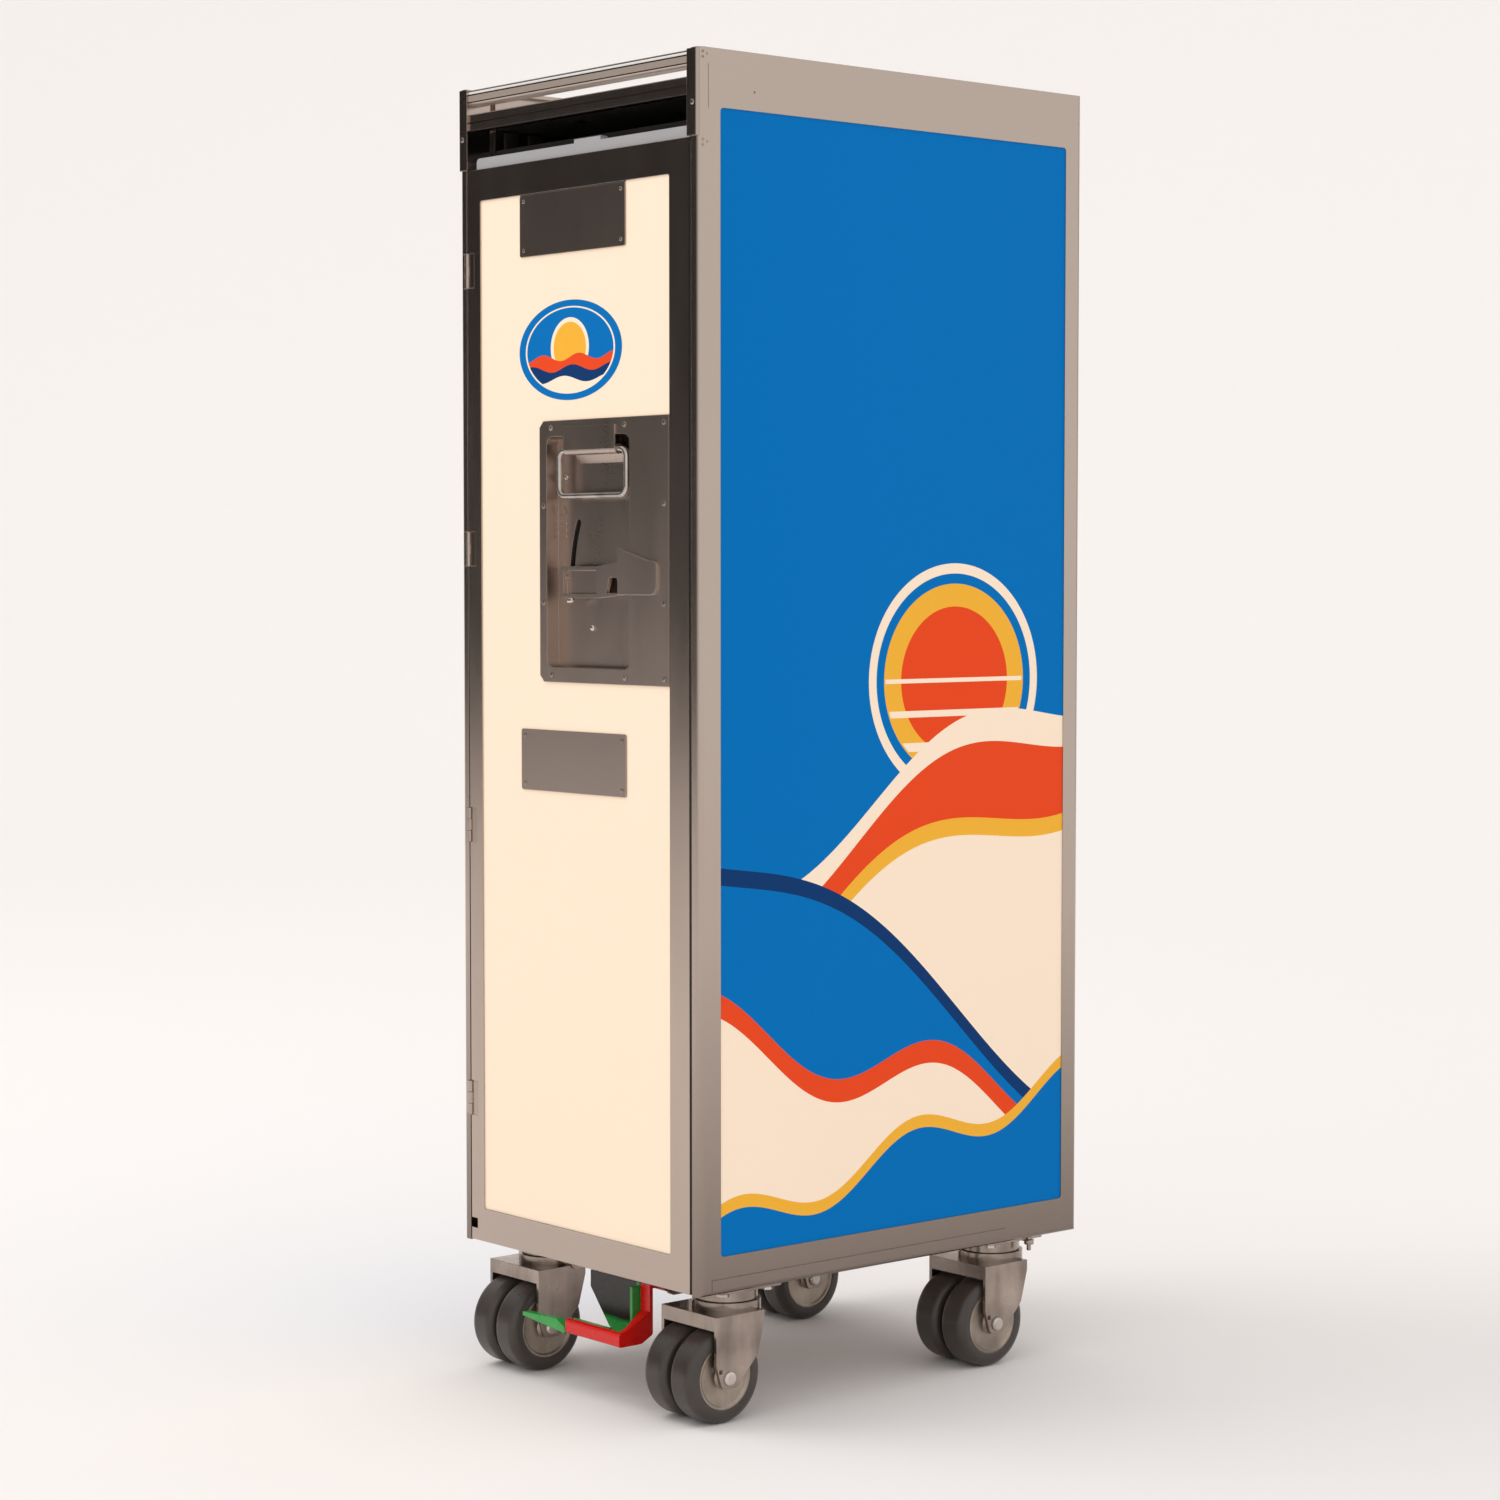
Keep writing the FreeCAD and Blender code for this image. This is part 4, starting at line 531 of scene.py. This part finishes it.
def gather(pieces):
    """Several pieces joined to one, its place, turn and size in its mesh."""
    hold(pieces[0])
    for piece in pieces:
        piece.select_set(True)
    if len(pieces) > 1:
        bpy.ops.object.join()
    return settle()


def set_out(pattern, places):
    """Copies of a pattern made at the origin, one at each place, joined to one piece."""
    made = [twin_of(pattern) for _ in places]
    for twin, place in zip(made, places):
        twin.location = place
    bpy.data.objects.remove(pattern)
    return gather(made)


def wear(piece, material):
    """Give every face of a piece one material."""
    piece.data.materials.clear()
    piece.data.materials.append(material)


def finish_piece(piece, name, body, slot, material=None):
    """Name, finish and body of a piece that is otherwise done."""
    piece.name = piece.data.name = name
    wear(piece, material or SLOT_FINISHES[slot])
    hold(piece)
    bpy.ops.object.shade_smooth_by_angle(angle=SMOOTH_BELOW)
    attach(piece, body)
    return piece


# ---------------------------------------------------------------- pieces of the door
plate_low, plate_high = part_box("card_plates")
pan_low, pan_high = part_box("latch_pan")
PLATE_HEIGHT = 48.0 * MM
HOOD_PROUD = 2.0 * MM
DISH_DEPTH = 11.5 * MM
PAN_FACE = pan_low[Y] + HOOD_PROUD
DISH_FLOOR = PAN_FACE + DISH_DEPTH
DISH_LEFT, DISH_RIGHT = pan_low[X] + 9.0 * MM, pan_high[X] - 47.3 * MM

# Screw and rivet heads: steps inwards and outwards, as shares of the radius and of the height.
DOME_SIDES = 20
DOME_STEPS = ((0.22, 0.32), (0.3, 0.16))
RECESS_STEPS = ((0.1, 0.02), (0.03, -0.35))


def dome_head(radius, height, recess=True, axis="Y"):
    """Domed head at the origin, facing -Y or +X, with a small round recess if it is a screw."""
    outward = FACINGS[axis]
    head = disc(outward * height * 0.25, radius, height * 0.5, axis, DOME_SIDES)
    pick(head, "FACE", lambda face: face.normal.dot(outward) > 0.9)
    for inward, rise in DOME_STEPS + (RECESS_STEPS if recess else ()):
        bpy.ops.mesh.inset(thickness=radius * inward, depth=height * rise)
    bpy.ops.object.mode_set(mode="OBJECT")
    return head


def door_screw_heads():
    """Small screws of the two card plates and larger ones round the latch pan."""
    inset = 5.0 * MM
    columns = (plate_low[X] + inset, plate_high[X] - inset)
    rows = (plate_low[Z] + inset, plate_low[Z] + PLATE_HEIGHT - inset,
            plate_high[Z] - PLATE_HEIGHT + inset, plate_high[Z] - inset)
    small = set_out(dome_head(1.7 * MM, 0.8 * MM),
                    [(x, plate_low[Y], z) for x in columns for z in rows])
    margin, beside_dish = 5.5 * MM, 6.0 * MM
    left, right = pan_low[X] + margin, pan_high[X] - margin
    low, high = pan_low[Z] + margin, pan_high[Z] - margin
    upper, lower = pan_high[Z] - 66.0 * MM, pan_low[Z] + 62.0 * MM
    inner_columns = (DISH_LEFT + beside_dish, DISH_RIGHT - beside_dish)
    spots = [(x, z) for x in (*inner_columns, right) for z in (low, high)]
    spots += [(x, z) for x in (left, right) for z in (lower, upper)]
    large = set_out(dome_head(2.3 * MM, 1.1 * MM), [(x, PAN_FACE, z) for x, z in spots])
    heads = finish_piece(gather([small, large]), "door_screw_heads", "door", "silver_trim",
                         SLOT_FINISHES["fork_steel"])
    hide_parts("door_screws")


def dish_rivets():
    """Two plain domes on the floor of the dish, one low at the right and one high at the left."""
    spots = [(pan_low[X] + 53.0 * MM, DISH_FLOOR, pan_low[Z] + 42.5 * MM),
             (pan_low[X] + 20.0 * MM, DISH_FLOOR, pan_high[Z] - 43.5 * MM)]
    domes = set_out(dome_head(2.6 * MM, 2.2 * MM, recess=False), spots)
    finish_piece(domes, "dish_rivets", "door", "pan_metal", SLOT_FINISHES["bright_steel"])


def lift_marks():
    """Raised marks beside the slot: an arrow over bars, and a ring of dots lower down."""
    middle, rise = pan_low[X] + 17.0 * MM, 0.7 * MM
    arrow_height, ring_height = pan_low[Z] + 132.5 * MM, pan_low[Z] + 88.5 * MM
    arrow = disc((middle, DISH_FLOOR, arrow_height), 4.2 * MM, rise * 2, "Y", 3)
    bar_half = (3.0 * MM, rise, 1.2 * MM)
    first_bar, bar_pitch = arrow_height - 9.2 * MM, 5.0 * MM
    bars = set_out(block([-half for half in bar_half], bar_half),
                   [(middle, DISH_FLOOR, first_bar - index * bar_pitch) for index in range(3)])
    ring_half_width, ring_half_height = 3.2 * MM, 5.0 * MM
    turns = [math.radians(60 * index) for index in range(6)]
    dots = set_out(disc((0, 0, 0), 0.9 * MM, rise * 2, "Y", 12),
                   [(middle + ring_half_width * math.cos(turn), DISH_FLOOR,
                     ring_height + ring_half_height * math.sin(turn)) for turn in turns])
    raised = bevel(gather([arrow, bars, dots]), 0.2 * MM, segments=1)
    finish_piece(raised, "lift_marks", "door", "pan_metal")


def oval_badge():
    """Thin oval print on the door's facing panel, between the upper plate and the latch."""
    panel_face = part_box("door_panel")[0][Y]
    half_width, half_height, thick = 65 * MM, 38.5 * MM, 0.2 * MM
    middle_x = (plate_low[X] + plate_high[X]) / 2 - 3.5 * MM
    middle_z = plate_high[Z] - 123 * MM
    badge = disc((0, 0, 0), 1, 1, "Y", 96)
    badge.scale = (half_width, thick, half_height)
    badge.location = (middle_x, panel_face - thick / 2, middle_z)
    badge = bevel(gather([badge]), 0.06 * MM, segments=1, limit=60)
    finish_piece(badge, "door_roundel", "door", "panel_cream",
                 badge_print(middle_x, middle_z, half_width, half_height))


def lever_tab():
    """Small turned-up catch at the lower corner of the lever's cup."""
    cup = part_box("latch_lever")[0]
    cup_face = PAN_FACE + 1.6 * MM
    tab = block((cup[X] + 8 * MM, cup_face - 0.8 * MM, cup[Z] + 1.5 * MM),
                (cup[X] + 15 * MM, cup_face + 2.4 * MM, cup[Z] + 5.5 * MM))
    finish_piece(bevel(tab, 1.2 * MM, segments=3), "lever_tab", "latch_lever", "pan_metal",
                 SLOT_FINISHES["bright_steel"])


def door_gap_shadows():
    """Dark strips of painted shadow: a thin lip down the door's free edge for the shade in the
    gap to the post, and a strip over the upper plate for the shade in the joint there.
    """
    low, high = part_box("door_frame")
    panel_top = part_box("door_panel")[1][Z]
    lip = block((high[X] - 0.2 * MM, low[Y] + 0.4 * MM, low[Z] + 2 * MM),
                (high[X] + 0.6 * MM, high[Y] - 1 * MM, high[Z] - 2 * MM))
    joint = block((plate_low[X], plate_low[Y] + 0.3 * MM, plate_high[Z] - 0.1 * MM),
                  (plate_high[X], plate_low[Y] + 1.1 * MM, panel_top))
    shadow_strips = bevel(gather([lip, joint]), 0.1 * MM, segments=1)
    # Dark rubber finish on strips that stand for shadow.
    finish_piece(shadow_strips, "door_gap_shadows", "door", "gasket_rubber")


# ---------------------------------------------------------------- pieces of the body
def slot_strips():
    """Two upright strips and a corner strip on the left wall of the service slot, all dark with
    painted shade.
    """
    inner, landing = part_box("ceiling_shelf")[0][X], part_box("ceiling_shelf")[0][Y]
    low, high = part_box("runner_wall_left")[1][Z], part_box("top_fascia")[0][Z] + 2 * MM
    door_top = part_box("door_frame")[1][Z]
    half_width, first, pitch = 6.5 * MM, landing + 15.5 * MM, 24 * MM
    strips = set_out(block((inner - 0.2 * MM, -half_width, low),
                           (inner + 1.2 * MM, half_width, high)),
                     [(0, first + index * pitch, 0) for index in range(2)])
    corner = block((inner - 3.4 * MM, landing - 0.5 * MM, door_top + 1 * MM),
                   (inner + 0.2 * MM, landing + 0.5 * MM, high))
    finish_piece(bevel(gather([strips, corner]), 0.3 * MM), "slot_strips", "cart_body",
                 "satin_metal", SLOT_SHADE_FINISH)


def bracket_domes():
    """Domed rivet of each corner bracket."""
    low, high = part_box("bracket_rivets")
    middle, inset = (low[Z] + high[Z]) / 2, 2.0 * MM
    spots = [(x, high[Y], middle) for x in (low[X] + inset, high[X] - inset)]
    domes = set_out(dome_head(2.1 * MM, high[Y] - low[Y], recess=False), spots)
    finish_piece(domes, "bracket_domes", "cart_body", "bracket_metal",
                 SLOT_FINISHES["bright_steel"])
    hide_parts("bracket_rivets")


def side_screws():
    """Clusters of three small domes by the front corners of each side, and single ones."""
    low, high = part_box("side_wall_right")
    front, top = low[Y], high[Z]
    spots = [(front + 53.3 * MM, top - 29 * MM), (high[Y] - 21.9 * MM, low[Z] + 12 * MM)]
    for drop in (5 * MM, 69 * MM):
        along, up = front + 5.3 * MM, top - drop
        spots += [(along - 1.6 * MM, up + 1.6 * MM), (along + 2.0 * MM, up),
                  (along - 1.6 * MM, up - 2.4 * MM)]
    tall, proud = 0.8 * MM, 0.35 * MM
    right = set_out(dome_head(1.1 * MM, tall, axis="X"),
                    [(high[X] - tall + proud, y, z) for y, z in spots])
    left = twin_of(right)
    left.scale = (-1, 1, 1)
    gather([left])
    bpy.ops.object.mode_set(mode="EDIT")
    face_outwards()
    for name, heads in (("side_screws_right", right), ("side_screws_left", left)):
        finish_piece(heads, name, "cart_body", "satin_metal", SLOT_FINISHES["fork_steel"])


def base_fasteners():
    """Stud with its nut under the right edge, and a bolt beside the front caster."""
    wall_low, wall_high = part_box("side_wall_right")
    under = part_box("base_board")[0][Z]
    stud_x, stud_y = wall_high[X] - 8 * MM, wall_high[Y] - 47.5 * MM
    bolt_x, bolt_y = wall_high[X] - 81 * MM, wall_low[Y] + 22.3 * MM
    stud = disc((stud_x, stud_y, under - 6 * MM), 1.8 * MM, 12 * MM, "Z", 16)
    nut = disc((stud_x, stud_y, under - 5 * MM), 4.2 * MM, 4 * MM, "Z", 6)
    bolt = disc((bolt_x, bolt_y, under - 2 * MM), 4.6 * MM, 4 * MM, "Z", 6)
    parts = bevel(gather([stud, nut, bolt]), 0.4 * MM, segments=1)
    finish_piece(parts, "base_fasteners", "cart_body", "fork_steel")


door_screw_heads()
dish_rivets()
lift_marks()
oval_badge()
lever_tab()
door_gap_shadows()
slot_strips()
bracket_domes()
side_screws()
base_fasteners()


# ---------------------------------------------------------------- studio
VIEW_WAY = (-0.761, 0.6485)
FLOOR_FRONT = 8.0
PAPER_START = -0.5
SWEEP_START = 5.0
SWEEP_BEND = 2.5
SWEEP_RISE = 5.0
SWEEP_LEFT = 8.5
SWEEP_RIGHT = 5.0

ROOM_TINT = (1.0, 0.985, 0.968, 1)
ROOM_LIGHT = 1.0
BACKDROP = colour("#F6F1ED")
DIM_ROOM, BRIGHT_ROOM, CEILING = 0.035, 0.95, 0.76
DIM_SIDE, BRIGHT_SIDE = -0.45, 0.5
DIM_HEIGHT, BRIGHT_HEIGHT = 0.25, 0.7

LAMP_PLACE, LAMP_AIM = Vector((-1.5, -1.7, 3.6)), Vector((0, 0, 0.3))
LAMP_SIDE = 1.8
LAMP_POWER = 32
LAMP_TINT = (1, 0.985, 0.96)

EYE_PLACE = (2.0462, -1.7661, 0.6468)
EYE_DOWN, EYE_TURN = math.radians(3.10), math.radians(49.57)
EYE_LENS, EYE_SENSOR, EYE_REACH = 79.8, 36, 100


def studio_paper():
    """Pale paper, a little lighter towards the backdrop, where less light falls."""
    finish = Finish("studio_paper")
    across, along, _ = finish.axes()
    depth = across * VIEW_WAY[0] + along * VIEW_WAY[1]
    shade = finish.blend(depth.ramp(PAPER_START, SWEEP_START), colour("#EEEBEA"),
                         colour("#F8F5F3"))
    return finish.set(Base_Color=shade, Roughness=0.9, Specular_IOR_Level=0.0).material


def studio_sweep():
    """Pale floor that curves up into a backdrop far behind the cart."""
    begin()
    middle = ((SWEEP_START - FLOOR_FRONT) / 2, (SWEEP_LEFT - SWEEP_RIGHT) / 2, 0)
    bpy.ops.mesh.primitive_plane_add(size=1, location=middle)
    floor = bpy.context.object
    floor.scale = (SWEEP_START + FLOOR_FRONT, SWEEP_LEFT + SWEEP_RIGHT, 1)
    settle()

    def at_far_end(edge):
        return min(floor.data.vertices[end].co.x for end in edge.vertices) > SWEEP_START - MM

    pick(floor, "EDGE", at_far_end)
    bpy.ops.mesh.spin(steps=24, angle=math.radians(90), axis=(0, 1, 0),
                      center=(SWEEP_START, 0, SWEEP_BEND))
    bpy.ops.mesh.extrude_region_move(TRANSFORM_OT_translate={"value": (0, 0, SWEEP_RISE)})
    bpy.ops.mesh.select_all(action="SELECT")
    bpy.ops.mesh.remove_doubles(threshold=MM)
    face_outwards()
    floor.rotation_euler = (0, 0, math.atan2(VIEW_WAY[1], VIEW_WAY[0]))
    settle()
    bpy.ops.object.shade_smooth_by_angle(angle=math.radians(30))
    floor.name = floor.data.name = "studio_sweep"
    wear(floor, studio_paper())


def key_lamp():
    """One large soft lamp over the front left, which metal doesn't mirror."""
    lamp = bpy.data.lights.new("key", "AREA")
    lamp.shape = "RECTANGLE"
    lamp.size = lamp.size_y = LAMP_SIDE
    lamp.energy = LAMP_POWER
    lamp.color = LAMP_TINT
    holder = bpy.data.objects.new("key", lamp)
    bpy.context.scene.collection.objects.link(holder)
    holder.location = LAMP_PLACE
    holder.rotation_euler = (LAMP_AIM - LAMP_PLACE).to_track_quat("-Z", "Y").to_euler()
    holder.visible_glossy = False


def studio_air():
    """Even light on surfaces.  Metal mirrors a room that is dim at the left and bright at the
    right and overhead, and past the backdrop's edge the air looks like the backdrop."""
    world = bpy.data.worlds.new("studio_air")
    bpy.context.scene.world = world
    world.use_nodes = True
    air = Graph(world.node_tree, "ShaderNodeOutputWorld")
    way = air.add("ShaderNodeTexCoord").outputs["Generated"]
    parts = air.add("ShaderNodeSeparateXYZ", {0: way}).outputs
    across, up = Signal(air, parts[X]), Signal(air, parts[Z])
    glow = across.ramp(DIM_SIDE, BRIGHT_SIDE, DIM_ROOM, BRIGHT_ROOM).either(
        up.ramp(DIM_HEIGHT, BRIGHT_HEIGHT, DIM_ROOM, CEILING))
    path = air.add("ShaderNodeLightPath").outputs

    def background(tint, strength):
        return air.add("ShaderNodeBackground", {"Color": tint, "Strength": strength}).outputs[0]

    def mix(ray, first, second):
        return air.add("ShaderNodeMixShader", {0: path[ray], 1: first, 2: second}).outputs[0]

    lit = mix("Is Glossy Ray", background(ROOM_TINT, ROOM_LIGHT), background(ROOM_TINT, glow))
    seen = mix("Is Camera Ray", lit, background(BACKDROP, 1.0))
    air.feed(air.output.inputs["Surface"], seen)


def camera():
    """Camera before the cart's front right edge, a little above its middle."""
    eye = bpy.data.cameras.new("camera")
    eye.sensor_width = EYE_SENSOR
    eye.lens = EYE_LENS
    eye.clip_end = EYE_REACH
    holder = bpy.data.objects.new("camera", eye)
    bpy.context.scene.collection.objects.link(holder)
    holder.location = EYE_PLACE
    holder.rotation_euler = (math.radians(90) - EYE_DOWN, 0, EYE_TURN)
    bpy.context.scene.camera = holder


studio_sweep()
studio_air()
key_lamp()
camera()
bpy.context.scene.view_settings.view_transform = "Standard"
